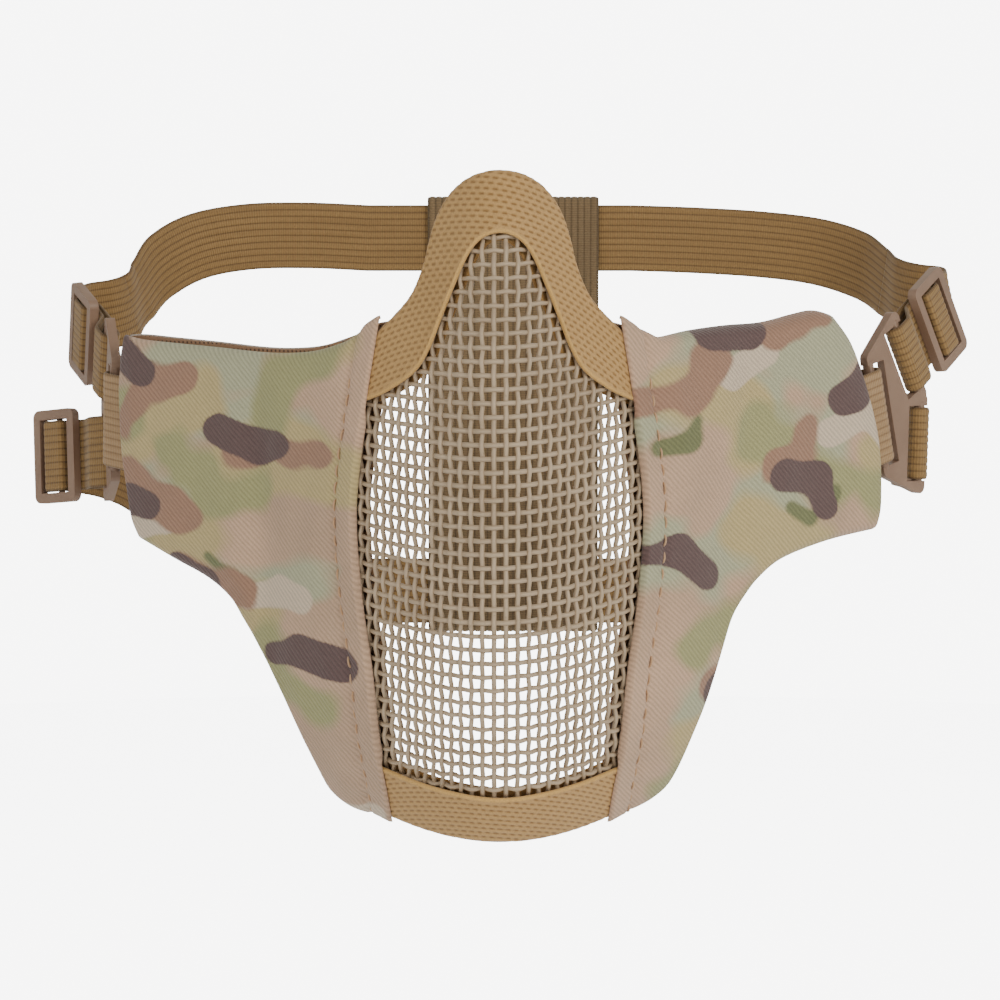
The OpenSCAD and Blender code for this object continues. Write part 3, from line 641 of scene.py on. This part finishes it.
def along_edge(points, shares):
    """Places at shares of the length of one edge of a wing."""
    fine = curve(points, np.linspace(0, 1, 900))
    run = lengths(on_base(fine))
    return np.stack([np.interp(shares * run[-1], run, fine[:, k]) for k in (0, 1)], axis=1)


def quarter_round(distance, radius):
    """Height of a rounded edge, from 0 on the edge to 1 at the radius."""
    return np.sqrt(np.maximum(1 - (1 - np.clip(distance / radius, 0, 1)) ** 2, 0))


class WingShape:
    """One side's wing as a grid of places between its four edges, on the positive side."""

    def __init__(self, side, inset=0.0, top_inset=0.0):
        shrink = inset * ramp((np.array(WING_TOP[side])[:, 0] - 30) / 8)
        top = np.array(WING_TOP[side], float)
        lowered = top_inset * ramp((top[:, 0] - 30) / 7) * (1 - ramp((top[:, 0] - 95) / 6))
        top[:, 1] -= shrink + lowered
        bottom = np.array(WING_BOTTOM[side], float)
        bottom[:, 1] += inset * ramp((bottom[:, 0] - 28) / 8)
        edge = np.array(WING_EDGE[side], float)
        edge[:, 0] -= inset
        edge[0], edge[-1] = bottom[-1], top[-1]
        self.edges = bottom, top, np.array(WINDOW_EDGE, float), edge

    def grid(self, s, u):
        """Places for shares s outwards and u upwards, row by row."""
        bottom, top, inner, outer = self.edges
        low, high = along_edge(bottom, s)[None], along_edge(top, s)[None]
        left, right = along_edge(inner, u)[:, None], along_edge(outer, u)[:, None]
        s, u = s[None, :, None], u[:, None, None]
        corners = ((1 - s) * (1 - u) * bottom[0] + s * (1 - u) * bottom[-1] + (1 - s) * u * top[0]
                   + s * u * top[-1])
        flat = (1 - u) * low + u * high + (1 - s) * left + s * right - corners
        return flat.reshape(-1, 2)


class Patch:
    """The grid of a wing's cover or lining, with the distances of its places from its edges."""

    def __init__(self, side, inset=0.0, top_inset=0.0):
        shape = WingShape(side, inset, top_inset)
        roll = RIM_ROLL / WING_SPAN
        self.flat = shape.grid(share_out(COLS, WINDOW_ROLL / WING_SPAN, roll), share_out(ROWS, roll, roll))
        bottom, top, inner, outer = (on_base(curve(e, np.linspace(0, 1, 240))) for e in shape.edges)
        on = on_base(self.flat)
        self.from_window = to_line(on, inner)
        self.from_rim = to_line(on, np.concatenate([bottom, outer[1:], top[::-1]]))
        row, col = np.divmod(np.arange(len(on)), COLS + 1)
        inside = (row > 0) & (row < ROWS) & (col > 0) & (col < COLS)
        window_roll = quarter_round(self.from_window, WINDOW_ROLL)
        self.roll = inside * window_roll * quarter_round(self.from_rim, RIM_ROLL)

    def rolled(self, heights, rim):
        """Points at the given heights that come round to the height rim along the edges."""
        return on_face(self.flat, rim + (heights - rim) * self.roll)


def mirrored(points, side):
    return points * np.array([SIDES[side], 1, 1])


# Areas of the print, by colour: how many, the longest stroke, its half width and how uneven its edge is
PRINT = {"sage": (9, 20, 8.5, 2.6), "khaki": (8, 17, 9, 1.8), "olive": (6, 18, 7.5, 2.2),
         "green": (4, 11, 2.2, 0.9), "pale": (4, 12, 4.2, 0.6), "brown": (6, 15, 5.5, 1.5),
         "purple": (7, 11, 4.4, 0.5)}
PRINT_SEED = {"left": 41, "right": 12}
# The stretch of a wing that the print is spread over, and the even steps between its areas
PRINT_X, PRINT_Z, PRINT_STEP = (30, 104), (-84, 42), (0.755, 0.570)


def print_strokes(side):
    """Strokes (x, z, x, z, half width) of each colour: bent pairs, spread evenly from a fixed seed."""
    draw = np.random.default_rng(PRINT_SEED[side])
    strokes = {}
    for name, (count, longest, widest, _) in PRINT.items():
        first = draw.random(2)
        strokes[name] = []
        for i in range(count):
            x = mix(*PRINT_X, (first[0] + PRINT_STEP[0] * i) % 1)
            z = mix(*PRINT_Z, (first[1] + PRINT_STEP[1] * i) % 1)
            angle = draw.uniform(-0.6, 0.6)
            for _ in range(2):
                long = longest * draw.uniform(0.5, 1)
                to_x, to_z = x + long * math.cos(angle), z + long * math.sin(angle)
                strokes[name].append((x, z, to_x, to_z, widest * draw.uniform(0.6, 1)))
                x, z, angle = to_x, to_z, angle + draw.uniform(-1.2, 1.2)
    return strokes


def print_field(p, strokes, seed, wobble=1.6):
    """Distance inside the nearest stroke, in millimetres, with an uneven edge."""
    best = np.full(len(p), -60.0)
    for xa, za, xb, zb, r in strokes:
        a, d = np.array([xa, za], float), np.array([xb - xa, zb - za], float)
        t = np.clip(((p - a) @ d) / max(d @ d, 1e-6), 0, 1)
        off = r - np.linalg.norm((p - a - t[:, None] * d), axis=1)
        best = np.logaddexp(best * 0.9, off * 0.9) / 0.9
    return best + wobble * wavy(p, 7, seed)


def print_fields(p, side):
    start = 40 if side == "left" else 0
    return {name: print_field(p, strokes, start + 2.7 * i, PRINT[name][3])
            for i, (name, strokes) in enumerate(print_strokes(side).items())}


def cloth_rise(patch, side):
    """Height of the cover over the face: a flat hem, a sewn groove, then padding with soft folds."""
    p, hem_d, rim_d = patch.flat, patch.from_window, patch.from_rim
    seed = 20 if side == "left" else 2
    padded = ramp((hem_d - HEM) / 9) * ramp(rim_d / 10)
    rise = COVER_H + 1.1 * padded
    rise -= 0.75 * bell(hem_d - HEM, 0.95)
    run = p[:, 1]
    puckers = np.sin(run / 6.3 * 2 * math.pi + 3 * wavy(p, 30, seed + 4))
    rise += 0.22 * puckers * ramp((hem_d - 1) / 4) * (1 - ramp((hem_d - HEM) / 9))
    rise -= 1.3 * bell(p[:, 0] - 60 - 0.06 * p[:, 1], 4.5) * ramp(rim_d / 12)
    rise += padded * (1.1 * wavy(p, 34, seed) + 0.5 * wavy(p * np.array([1, 0.55]), 13, seed + 1))
    rise += padded * 0.14 * wavy(p, 5, seed + 2)
    return rise


def lining_rise(patch, side):
    hem_d, rim_d, p = patch.from_window, patch.from_rim, patch.flat
    seed = 30 if side == "left" else 12
    deep = ramp((hem_d - 3) / 11)
    rise = mix(-3.6, LINING_H, deep)
    rise -= 0.5 * ramp(rim_d / 12) * deep
    rise += 0.5 * bell(hem_d - HEM, 0.9)
    rise += 1.0 * bell(p[:, 0] - 60, 3.5) * ramp(rim_d / 10)
    if side == "left":
        strip = ramp((p[:, 0] - 34) / 8) * ramp((p[:, 1] - 22) / 6) * (1 - ramp((rim_d - 2) / 5))
        rise = mix(rise, -0.8, strip)
    return rise + deep * ramp(rim_d / 8) * (0.4 * wavy(p, 30, seed) + 0.25 * wavy(p, 11, seed + 1))


def wing_pieces(side):
    """Cover, lining, foam and the stitches of one wing."""
    sign = SIDES[side]
    shows = LINING_SHOWS if side == "left" else 0
    shells = [("cover", Patch(side, top_inset=shows), cloth_rise, "camo", COVER_T, "camo_cloth"),
              ("lining", Patch(side, inset=0.0 if shows else 0.35), lining_rise, "lining", LINING_T,
               "lining_cloth")]
    for name, patch, rise, look, thick, slot in shells:
        x, z = patch.flat[:, 0], patch.flat[:, 1]
        away = ramp(patch.from_window / 8)
        over_binding = np.maximum(ramp((z - 16) / 5), ramp((-66 - z) / 4))
        shown_top = ramp((x - 34) / 8) * ramp((z - 26) / 6) * (shows > 0)
        at_window = 1.35 + 1.05 * over_binding if name == "cover" else -2.7
        rim = mix(at_window, SEAM_H + (3.3 if name == "cover" else 1.9) * shown_top, away)
        points = patch.rolled(rise(patch, side), rim)
        faces = grid_faces(ROWS + 1, COLS + 1)
        if (side == "left") != (name == "lining"):
            faces = [f[::-1] for f in faces]
        fields = print_fields(patch.flat, side) if name == "cover" else None
        uv = np.stack([sign * arc(x), z], axis=1)
        piece = make_piece(f"{side}_{name}", mirrored(points, side), faces, LOOKS[look], uv, fields)
        solid = piece.modifiers.new("cloth thickness", "SOLIDIFY")
        solid.thickness, solid.offset = thick * MM, -1
        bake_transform(piece)
        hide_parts(f"{side}_cheek_{name}", f"{side}_wing_{name}")
    wing_foam(side)
    window_stitches(side)


def wing_foam(side):
    """The padding, from beside the window hem outwards, a little inside the other edges."""
    cols, rows, roll = 60, 60, 2.2
    s = mix(0.15, 0.96, share_out(cols, 0.025, 0.025, 4))
    u = mix(0.045, 0.9 if side == "left" else 0.955, share_out(rows, 0.025, 0.025, 4))
    flat = WingShape(side, top_inset=LINING_SHOWS).grid(s, u)
    on = on_base(flat).reshape(rows + 1, cols + 1, 3)
    border = np.concatenate([on[0], on[1:, -1], on[-1, -2::-1], on[-2::-1, 0]])
    rounded_edge = quarter_round(to_line(on.reshape(-1, 3), border), roll)
    rim = mix(-4.6, -2.4, ramp((flat[:, 0] - 44) / 12))
    front = mix(-2.6, 2.1, ramp((flat[:, 0] - 45) / 10))
    layers = [on_face(flat, rim + (h - rim) * rounded_edge) for h in (front, -6.7 + 0 * front)]
    faces = grid_faces(rows + 1, cols + 1)
    faces += [[i + len(flat) for i in f[::-1]] for f in faces]
    piece = make_piece(f"{side}_foam", mirrored(np.concatenate(layers), side), faces, LOOKS["foam"])
    weld = piece.modifiers.new("joined edge", "WELD")
    weld.merge_threshold = 0.00001
    keep_outward(piece)
    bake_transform(piece)
    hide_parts(f"{side}_cheek_foam", f"{side}_wing_foam")


def window_stitches(side):
    """Single stitches that sink into the cloth at both ends, in a row beside the window edge."""
    pitch, length = 4.4, 3.1
    row = curve(WINDOW_EDGE, np.linspace(0.03, 0.93, 600))
    row[:, 0] = np.interp(arc(row[:, 0]) + HEM, ARC_RUN, ARC_X)
    on = on_face(row, np.zeros(len(row)))
    run = lengths(on)
    lines, normals = [], []
    for start in np.arange(1.0, run[-1] - length, pitch):
        at = start + np.linspace(0, length, 7)
        p = np.stack([np.interp(at, run, row[:, k]) for k in (0, 1)], axis=1)
        arch = np.sin(np.linspace(0, math.pi, 7))
        lines.append(mirrored(on_face(p, 2.5 + 0.75 * np.sqrt(arch)), side))
        normals.append(mirrored(face_normal(p[:, 0], p[:, 1]), side))
    points, faces = tube_parts(lines, normals, 0.3, 6)
    piece = make_piece(f"{side}_hem_stitches", points, faces, LOOKS["thread"])
    keep_outward(piece)
    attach(piece, "mask")
    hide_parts(f"{side}_window_stitching")


# ---------------------------------------------------------------- buckles, sliders and tabs


def about_z(v, a):
    c, s = math.cos(math.radians(a)), math.sin(math.radians(a))
    return np.stack([v[..., 0] * c - v[..., 1] * s, v[..., 0] * s + v[..., 1] * c, v[..., 2]], axis=-1)


def tilt_up(v, a):
    c, s = math.cos(math.radians(a)), math.sin(math.radians(a))
    return np.stack([v[..., 0] * c - v[..., 2] * s, v[..., 1], v[..., 0] * s + v[..., 2] * c], axis=-1)


def in_buckle(v, side):
    """Turns a vector from the buckle's own frame into place, on the positive side."""
    b = BUCKLES[side]
    return about_z(tilt_up(np.asarray(v, float), b["roll"]), b["turn"])


def in_strap(v, side, level):
    """Turns a vector [along the strap, towards the front, up] of one outer bar into place."""
    b = BUCKLES[side]
    up = 1 if level == "upper" else -1
    v = np.asarray(v, float) * np.array([1, -1, 1])
    return in_buckle(tilt_up(about_z(v, b["swing"][level]), up * BAR_TILT), side)


def bar_place(side, level):
    up = 1 if level == "upper" else -1
    return np.array(BUCKLES[side]["at"], float) + in_buckle((BAR_OUT, 0, up * BAR_UP), side)


def moulded(node):
    """A CAD piece that is shown as it is, with rounded edges and the plastic look."""
    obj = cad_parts[node]
    obj.data.materials.clear()
    obj.data.materials.append(LOOKS["plastic"])
    weld = obj.modifiers.new("joined edges", "WELD")
    weld.merge_threshold = 0.00001
    bevel = obj.modifiers.new("rounded edges", "BEVEL")
    bevel.width, bevel.segments, bevel.limit_method = 0.0004, 3, "ANGLE"
    bevel.angle_limit = math.radians(40)
    bevel.harden_normals = False


def tab(side):
    """Webbing loop round the inner bar, its two leaves running into the wing."""
    r = TAB_LOOP_R + TAB_T / 2
    turn = np.radians(np.linspace(90, -90, 17))
    leaf = np.linspace(-TAB_LEAF, -0.5, 12)
    loop = np.stack([r * np.cos(turn), r * np.sin(turn)], 1)
    flat = np.concatenate([np.stack([leaf, 0 * leaf + r], 1), loop, np.stack([leaf[::-1], 0 * leaf - r], 1)])
    line = np.stack([flat[:, 0], flat[:, 1], 0 * flat[:, 0]], axis=1)
    swing = TAB_TURN - BUCKLES[side]["turn"]
    line = np.array(BUCKLES[side]["at"], float) + in_buckle(about_z(line, swing), side)
    across = np.tile(in_buckle((0, 0, 1), side), (len(line), 1))
    piece = ribbon(f"{side}_webbing_tab", mirrored(line, side), mirrored(across, side), TAB_W, TAB_T,
                   LOOKS["tab"], ribs=13, groove=0.12)
    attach(piece, side + "_wing")
    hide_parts(side + "_tab")


# ---------------------------------------------------------------- head bands

OFF_PLASTIC = 0.25 + STRAP_T / 2
WRAP_H = BAR_R + 0.3 + STRAP_T / 2
UNDER_RAIL = SLIDER_LOW - OFF_PLASTIC
OVER_BAR = SLIDER_BAR_H + SLIDER_BAR_R + OFF_PLASTIC
UNDER_BAR = SLIDER_BAR_H - SLIDER_BAR_R - OFF_PLASTIC
BESIDE_BAR = SLIDER_BAR_R + OFF_PLASTIC
BACK_LAYER = UNDER_RAIL - STRAP_T - 0.4
BESIDE_WRAP, OVER_WRAP = BESIDE_BAR + STRAP_T + 0.5, OVER_BAR + STRAP_T + 0.2
# Corners of the band round the slider's bar, the buckle's bar and back through the slider, as
# [along the strap, height towards the front, bend radius]
LOOP_CORNERS = [
    (SLIDER_AT, UNDER_BAR, 0), (SLIDER_AT + BESIDE_BAR, UNDER_BAR, 0.8),
    (SLIDER_AT + BESIDE_BAR, OVER_BAR, 0.8), (SLIDER_AT - BESIDE_BAR, OVER_BAR, 0.8),
    (SLIDER_AT - BESIDE_BAR, BACK_LAYER, 0.8), (9, BACK_LAYER, 3), (3, -WRAP_H, 3),
    (-WRAP_H, -WRAP_H, WRAP_H - 0.01), (-WRAP_H, WRAP_H, WRAP_H - 0.01), (4.5, WRAP_H, 3),
    (SLIDER_AT - SLIDER_HALF - 1.5, UNDER_RAIL, 2), (SLIDER_AT - BESIDE_WRAP, UNDER_RAIL, 0.8),
    (SLIDER_AT - BESIDE_WRAP, OVER_WRAP, 0.8), (SLIDER_AT + BESIDE_WRAP, OVER_WRAP, 0.8),
    (SLIDER_AT + BESIDE_WRAP, UNDER_RAIL, 0.8), (SLIDER_AT + SLIDER_HALF + 2, UNDER_RAIL, 0)]


def rounded(corners, steps=8):
    """Line through corners, each rounded to its own radius."""
    out = []
    for i, (x, y, r) in enumerate(corners):
        b = np.array([x, y], float)
        if r == 0:
            out.append(b)
            continue
        u, v = unit(np.array(corners[i - 1][:2]) - b), unit(np.array(corners[i + 1][:2]) - b)
        half = math.acos(float(u @ v)) / 2
        centre = b + unit(u + v) * r / math.sin(half)
        e, f = unit(b + u * r / math.tan(half) - centre), unit(b + v * r / math.tan(half) - centre)
        turn = math.pi - 2 * half
        for k in range(steps + 1):
            g = k / steps * turn
            out.append(centre + r * (math.sin(turn - g) * e + math.sin(g) * f) / math.sin(turn))
    return np.array(out)


def free_run(side, level):
    """Band from the slider to the middle of the back of the head, as a fine line and its widths' way."""
    bar = bar_place(side, level)
    leaves = bar + in_strap((*LOOP_CORNERS[-1][:2], 0), side, level)
    route = [tuple(leaves)] + ROUTES[side, level] + [(STRAIGHT_REAR, REAR_Y, REAR_Z[level])]
    count = len(route) - 1
    share = np.linspace(0, 1, 24 * count + 1)
    line = curve(route, share)
    along = unit(np.gradient(line, axis=0))
    up = unit(np.array([0, 0, 1]) - along[:, 2:3] * along)
    start = in_strap((0, 0, 1), side, level)
    across = unit(mix(start, up, ramp(4 * share)[:, None]))
    return line, across, (SEAM_POINT[side, level] + 1) * 24


def band_pieces(side, level):
    bar = bar_place(side, level)
    width_way = in_strap((0, 0, 1), side, level)

    def strap_points(flat):
        flat = np.asarray(flat, float)
        return bar + in_strap(np.stack([flat[:, 0], flat[:, 1], 0 * flat[:, 0]], axis=1), side, level)

    def add(name, line, across):
        piece = ribbon(name, mirrored(line, side), mirrored(across, side), STRAP_W, STRAP_T, LOOKS["elastic"])
        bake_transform(piece)
        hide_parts(level + "_strap")

    looped = rounded(LOOP_CORNERS)[:-1]
    loop_line = strap_points(looped)
    add(f"{side}_{level}_strap_loop", loop_line, np.tile(width_way, (len(loop_line), 1)))
    line, across, seam = free_run(side, level)
    under_slider = np.linspace(SLIDER_AT - 7, SLIDER_AT + SLIDER_HALF + 1, 12)
    under = strap_points([(s, UNDER_RAIL - 0.15) for s in under_slider])
    lead = np.concatenate([under, line[1:seam + 1]])
    lead_across = np.concatenate([np.tile(width_way, (len(under), 1)), across[1:seam + 1]])
    add(f"{side}_{level}_strap_lead", lead, lead_across)
    rear = np.array([[x, REAR_Y, REAR_Z[level]] for x in np.linspace(STRAIGHT_REAR - 2, 0, 10)])
    rest = np.concatenate([line[seam:], rear])
    rest_across = np.concatenate([across[seam:], np.tile((0, 0, 1.0), (len(rear), 1))])
    add(f"{side}_{level}_strap_band", rest, rest_across)


# ---------------------------------------------------------------- rear connector


def rear_connector():
    """One wide elastic whose ends fold over both bands and are sewn down as sleeves."""
    off = STRAP_T / 2 + SLEEVE_GAP + CONNECTOR_T / 2
    top, low = REAR_Z["upper"], REAR_Z["lower"]
    end = SLEEVE_H - FOLD_OFF
    laid = -off + CONNECTOR_T
    path = [(laid, top - end + 0.4), (laid, top - end + 2.6), (off, top - STRAP_W / 2 + 1.0)]
    path += [(off * math.cos(t), top + FOLD_OFF + off * math.sin(t)) for t in np.linspace(0, math.pi, 13)]
    path += [(-off, z) for z in np.linspace(top, low, 24)]
    path += [(-off * math.cos(t), low - FOLD_OFF - off * math.sin(t)) for t in np.linspace(0, math.pi, 13)]
    path += [(off, low + STRAP_W / 2 - 1.0), (laid, low + end - 2.6), (laid, low + end - 0.4)]
    flat = np.array(path)
    line = resample(np.stack([0 * flat[:, 0], REAR_Y + flat[:, 0], flat[:, 1]], axis=1), 0.8)
    line[:, 0] = CONNECTOR_X
    across = np.tile((1.0, 0, 0), (len(line), 1))
    piece = ribbon("wide_connector", line, across, CONNECTOR_W, CONNECTOR_T, LOOKS["connector"], ribs=26,
                   groove=0.2)
    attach(piece, "rear_connector")
    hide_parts("rear_connector")

    pitch, length = 3.4, 2.5
    count = int((CONNECTOR_W - 3) / pitch)
    lines, normals = [], []
    skin = REAR_Y + laid + CONNECTOR_T / 2
    for seam_z in (top - end + 1.6, low + end - 1.6):
        for i in range(count):
            x = CONNECTOR_X + (i - (count - 1) / 2) * pitch + np.linspace(-length / 2, length / 2, 7)
            arch = np.sin(np.linspace(0, math.pi, 7))
            lines.append(np.stack([x, skin - 0.35 + 0.5 * np.sqrt(arch), seam_z + 0 * x], axis=1))
            normals.append(np.tile((0, 1.0, 0), (7, 1)))
    points, faces = tube_parts(lines, normals, 0.25, 6)
    sewn = make_piece("connector_stitches", points, faces, LOOKS["brown_thread"])
    keep_outward(sewn)
    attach(sewn, "rear_connector")
    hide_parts("connector_stitching")


# ---------------------------------------------------------------- studio


# Glow of the floor on the mask and to the camera, and the strengths of the air and the lamps
FLOOR_GLOW, BACKDROP_GLOW, WORLD_LIGHT = 0.2, 7, 0.32
KEY_LIGHT, FILL_LIGHT, BACK_LIGHT = 14.5, 4.2, 3
WARM, WARM_AIR = (1.0, 0.95, 0.82), (1.0, 0.96, 0.86)


def grey(level):
    return (level, level, level, 1)


def studio():
    """A pale bowl: a floor that rises into a wall all round, with soft lamps."""
    profile = [(0, -0.30), (1.6, -0.30), (2.0, -0.26), (2.4, -0.12), (2.7, 0.2), (2.8, 0.7), (2.8, 3.0)]
    turns = 96
    points = [(r * math.cos(2 * math.pi * k / turns), r * math.sin(2 * math.pi * k / turns), z)
              for r, z in profile[1:] for k in range(turns)]
    points.append((0, 0, profile[0][1]))
    faces = [f[::-1] for f in grid_faces(len(profile) - 1, turns, True)]
    faces += [[(k + 1) % turns, k, len(points) - 1] for k in range(turns)]
    look = Look("pale_floor")
    seen = look.node("ShaderNodeLightPath").outputs["Is Camera Ray"]
    glow = look.mix(seen, grey(FLOOR_GLOW), grey(BACKDROP_GLOW))
    shade = look.mix(look.noise(8, 2), tint(236, 236, 234), tint(243, 243, 242))
    look.sets(Base_Color=shade, Roughness=0.9, Emission_Color=glow, Emission_Strength=1.0)
    mesh = bpy.data.meshes.new("studio_floor")
    mesh.from_pydata(points, [], faces)
    mesh.polygons.foreach_set("use_smooth", [True] * len(mesh.polygons))
    mesh.materials.append(look.material)
    floor = bpy.data.objects.new("studio_floor", mesh)
    bpy.context.scene.collection.objects.link(floor)

    world = bpy.data.worlds.new("studio_air")
    bpy.context.scene.world = world
    world.use_nodes = True
    sky = world.node_tree.nodes["Background"]
    sky.inputs["Color"].default_value = (*WARM_AIR, 1)
    sky.inputs["Strength"].default_value = WORLD_LIGHT
    lamps = [("key", (1.0, -1.3, 0.7), 0.9, KEY_LIGHT), ("fill", (-1.0, -1.3, 0.45), 1.1, FILL_LIGHT),
             ("back", (0.3, 1.3, 1.1), 0.9, BACK_LIGHT)]
    for name, place, size, power in lamps:
        light = bpy.data.lights.new(name, "AREA")
        light.shape, light.size, light.energy = "DISK", size, power
        light.color = WARM
        lamp = bpy.data.objects.new(name, light)
        lamp.location = place
        lamp.rotation_mode = "QUATERNION"
        lamp.rotation_quaternion = (Vector((0, 0.05, 0)) - Vector(place)).to_track_quat("-Z", "Y")
        bpy.context.scene.collection.objects.link(lamp)


def camera():
    """The photograph's view: level with the lips, 0.7 m away and 5 degrees above."""
    data = bpy.data.cameras.new("camera")
    data.lens, data.sensor_width = 103.7, 36
    eye = bpy.data.objects.new("camera", data)
    above, away, target = math.radians(5), 0.7, Vector((0, -0.02, 0))
    eye.location = target + Vector((0, -away * math.cos(above), away * math.sin(above)))
    eye.rotation_mode = "QUATERNION"
    eye.rotation_quaternion = (target - eye.location).to_track_quat("-Z", "Y")
    bpy.context.scene.collection.objects.link(eye)
    bpy.context.scene.camera = eye


camera()
studio()
woven_wires()
folded_binding("nose_webbing", NOSE_INNER, NOSE_OUTER, 440, -0.2, -0.012, "nose_binding")
folded_binding("chin_webbing", CHIN_UPPER, CHIN_LOWER, 200, -0.1, -0.008, "chin_binding")
for side_name in SIDES:
    wing_pieces(side_name)
    tab(side_name)
    moulded(side_name + "_buckle")
    for level_name in REAR_Z:
        moulded(f"{side_name}_{level_name}_slider")
        band_pieces(side_name, level_name)
rear_connector()
